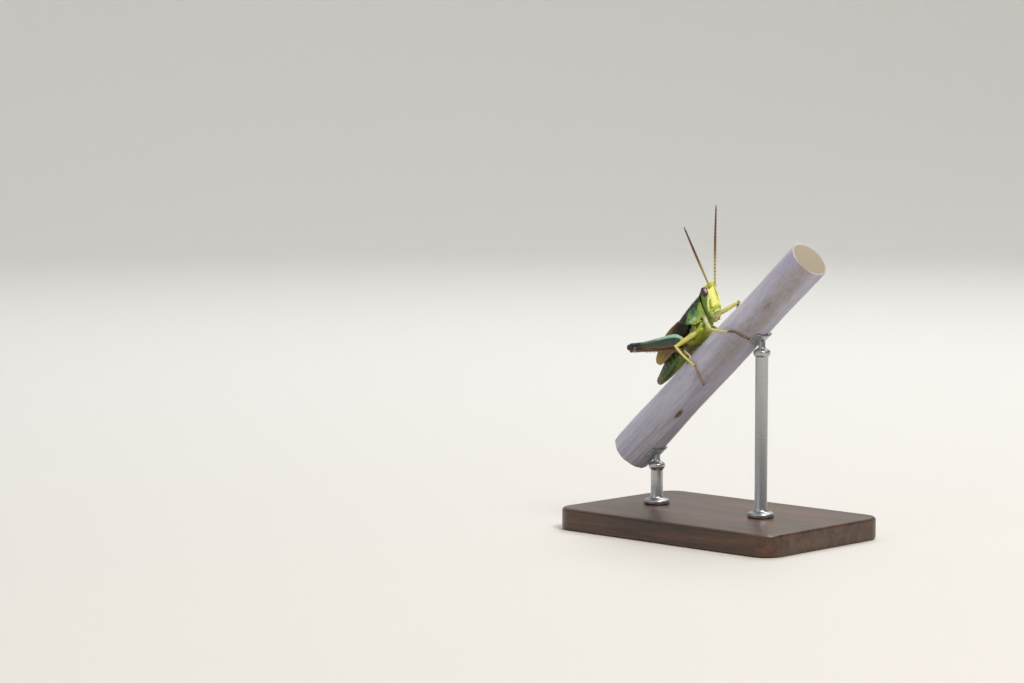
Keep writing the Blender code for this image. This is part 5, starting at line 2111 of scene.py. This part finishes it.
@dataclass
class Stand:
    """A plain display stand: an oiled base with a softened edge and two turned rods that cradle the stem.

    A rod's foot has points of (height over the base, radius), and its top of (height to the stem, radius).
    """

    shop: Workshop
    length: float = 40.0
    width: float = 26.0
    height: float = 3.2
    corner: float = 3.0
    rods: dict[str, float] = field(default_factory=lambda: {"stand_rod_low": -11.5, "stand_rod_high": 8.0})
    rod_foot: Path = (
        (0.0, 1.75), (0.12, 1.9), (0.55, 1.9), (0.72, 1.72), (0.8, 1.25), (1.0, 1.02), (1.35, 0.9),
    )
    rod_top: Path = (
        (-2.4, 0.9), (-2.1, 1.15), (-1.95, 1.2), (-1.6, 1.2), (-1.4, 1.05), (-1.2, 0.62), (-1.05, 0.5),
        (-0.08, 0.45),
    )
    saddle_gap: float = 0.04
    saddle_wall: float = 0.3
    saddle_length: float = 2.0
    saddle_arc: float = 58.0

    def base(self) -> None:
        """The base: a slab with rounded corners and a softened edge."""
        base = added(
            "display_base", bpy.ops.mesh.primitive_cube_add, size=MM,
            location=(0.0, 0.0, self.height * MM / 2.0), scale=(self.length, self.width, self.height),
        )
        mesh = base.data
        with editing(base):
            bpy.ops.mesh.select_all(action="DESELECT")
        for edge in mesh.edges:
            first, second = (mesh.vertices[i].co for i in edge.vertices)
            edge.select = abs(first.z - second.z) > self.height * MM / 2.0
        modes = bpy.context.tool_settings
        modes.mesh_select_mode = (False, True, False)
        with editing(base):
            bpy.ops.mesh.bevel(offset=self.corner * MM, segments=12, affect="EDGES")
        modes.mesh_select_mode = (True, False, False)
        soften_edges(base, 0.45, 5, 50.0, 35.0)
        apply_modifier(base, "WEIGHTED_NORMAL", weight=100)
        self.shop.deliver(base, "wood", "stand_wood", ["stand_base"], Matrix.Identity(4))

    def rod(self, name: str, place: float) -> None:
        """One rod, with a collar at its foot and a curved saddle under the stem."""
        pose = self.shop.pose
        pitch = math.radians(pose.stem_pitch)
        centre = self.shop.stem.translation / MM
        top = centre.z + place * math.tan(pitch) - pose.stem_radius_low / math.cos(pitch)
        profile = [
            (end + height, radius)
            for end, part in ((self.height, self.rod_foot), (top, self.rod_top))
            for height, radius in part
        ]
        post = turned(f"{name}_post", profile, 40)
        post.data.transform(Matrix.Rotation(-math.pi / 2.0, 4, "Y"))
        post.data.transform(Matrix.Translation((place * MM, 0.0, 0.0)))
        soften_edges(post, 0.08, 3, 30.0, 30.0)
        self.shop.deliver(post, "steel", "stand_metal", [name], Matrix.Identity(4))

        station = place / math.cos(pitch)
        radius = pose.stem_radius(station) + self.saddle_gap

        def cradle(around: Array, along: Array) -> Array:
            """The saddle's face, in the stem's frame."""
            turn = math.pi + (around - 0.5) * math.radians(self.saddle_arc)
            x = station + (along - 0.5) * self.saddle_length - pose.stem_radius_low * math.tan(pitch)
            return np.stack([x, -radius * np.sin(turn), radius * np.cos(turn)], 1)

        saddle = bent_grid(f"{name}_saddle", 40, 16, cradle)
        if sum(face.normal.z for face in saddle.data.polygons) > 0.0:
            saddle.data.flip_normals()
        apply_modifier(saddle, "SOLIDIFY", thickness=self.saddle_wall * MM, offset=1.0)
        soften_edges(saddle, 0.07, 3, 40.0, 35.0)
        self.shop.deliver(saddle, "steel", "stand_metal", place=self.shop.stem)

    def build(self) -> None:
        """Makes the stand."""
        self.base()
        for name, place in self.rods.items():
            self.rod(name, place)


@dataclass(frozen=True)
class Lamp:
    """A square light that faces the insect, at an azimuth and an elevation in degrees."""

    name: str
    azimuth: float
    elevation: float
    size: float
    power: float
    tint: str


@dataclass
class Studio:
    """A pale paper bowl, in millimetres, with soft lights and the camera, in metres."""

    shop: Workshop
    azimuth: float = 44.0
    elevation: float = 5.0
    lens: float = 100.0
    sensor: float = 36.0
    distance: float = 0.40634
    tip_right: float = 0.02857143
    tip_up: float = 0.00857143
    flat_radius: float = 700.0
    bend_radius: float = 450.0
    wall_height: float = 1500.0
    lamps: tuple[Lamp, ...] = (
        Lamp("key_light", 76.0, 52.0, 0.24, 3.3, "#fff4e6"),
        Lamp("fill_light", -14.0, 30.0, 0.55, 0.6, "#e6eeff"),
        Lamp("rim_light", 200.0, 55.0, 0.3, 1.7, "#f4f7ff"),
    )
    lamp_distance: float = 0.6
    wall_lamp_place: Span = (0.45, 0.75)
    wall_lamp_aim: Span = (0.7, -0.7)
    wall_lamp_size: float = 0.9
    wall_lamp_power: float = 4.0
    sky: str = "#e8edf2"
    sky_strength: float = 0.42

    def bowl(self, around: Array, along: Array) -> Array:
        """The backdrop: a round floor that sweeps up into a wall."""
        arc = math.pi / 2.0 * self.bend_radius
        reach = along * (self.flat_radius + arc + self.wall_height)
        turn = np.clip((reach - self.flat_radius) / self.bend_radius, 0.0, math.pi / 2.0)
        radius = np.minimum(reach, self.flat_radius) + self.bend_radius * np.sin(turn)
        rise = np.maximum(reach - self.flat_radius - arc, 0.0)
        z = self.bend_radius * (1.0 - np.cos(turn)) + rise
        return np.stack([radius * np.cos(TAU * around), radius * np.sin(TAU * around), z], 1)

    def backdrop(self) -> None:
        """Adds the bowl."""
        bowl = bent_grid("paper_bowl", 96, 96, self.bowl)
        bowl.data.flip_normals()
        bowl.data.materials.append(self.shop.finish("paper"))

    @staticmethod
    def direction(azimuth: float, elevation: float) -> Vector:
        """The direction from the insect to something round it, in degrees."""
        turn, rise = math.radians(azimuth), math.radians(elevation)
        return Vector((math.sin(turn) * math.cos(rise), -math.cos(turn) * math.cos(rise), math.sin(rise)))

    def light(self, name: str, place: Vector, aim: Vector, size: float, power: float) -> Object:
        """Adds a square light that shines along a direction."""
        bpy.ops.object.light_add(type="AREA", location=place)
        lamp = bpy.context.object
        lamp.name = name
        lamp.data.size = size
        lamp.data.energy = power
        lamp.rotation_euler = aim.to_track_quat("-Z", "Y").to_euler()
        return lamp

    def lights(self) -> None:
        """Adds the insect's own lights, and one behind it that faces the backdrop and evens its tone."""
        middle = self.shop.body.translation
        for lamp in self.lamps:
            back = self.direction(lamp.azimuth, lamp.elevation)
            made = self.light(lamp.name, middle + back * self.lamp_distance, -back, lamp.size, lamp.power)
            made.data.color = linear(lamp.tint)[:3]
        behind, above = self.direction(self.azimuth + 180.0, 0.0), Vector((0.0, 0.0, 1.0))
        place, aim = (
            behind * back + above * rise for back, rise in (self.wall_lamp_place, self.wall_lamp_aim)
        )
        self.light("wall_light", place, aim, self.wall_lamp_size, self.wall_lamp_power)

    def sky_light(self) -> None:
        """Fills the studio with a faint cool light from all sides."""
        world = bpy.data.worlds.new("studio_sky")
        world.use_nodes = True
        sky = world.node_tree.nodes["Background"]
        sky.inputs["Color"].default_value = linear(self.sky)
        sky.inputs["Strength"].default_value = self.sky_strength
        bpy.context.scene.world = world

    def camera(self) -> None:
        """Sets the camera where the insect's right side and face are seen, from just above its level."""
        back = self.direction(self.azimuth, self.elevation)
        right = self.direction(self.azimuth + 90.0, 0.0)
        up = back.cross(right)
        target = self.shop.body.translation - right * self.tip_right - up * self.tip_up
        bpy.ops.object.camera_add(location=target + back * self.distance)
        camera = bpy.context.object
        camera.name = "camera"
        camera.rotation_euler = (-back).to_track_quat("-Z", "Y").to_euler()
        camera.data.lens = self.lens
        camera.data.sensor_width = self.sensor
        camera.data.clip_start = 0.01
        camera.data.clip_end = 10.0
        bpy.context.scene.camera = camera

    def build(self) -> None:
        """Adds the backdrop, the lights, the sky and the camera."""
        self.backdrop()
        self.lights()
        self.sky_light()
        bpy.context.scene.view_settings.view_transform = "Standard"
        self.camera()


def main() -> None:
    """Builds the model and its studio."""
    logging.basicConfig(level=logging.INFO, format="%(message)s")
    shop = Workshop(Pose())
    Stand(shop).build()
    Stem(shop).build()
    Trunk(shop).build()
    Wings(shop).build()
    Legs(shop).build()
    Head(shop).build()
    Studio(shop).build()


if __name__ == "__main__":
    main()
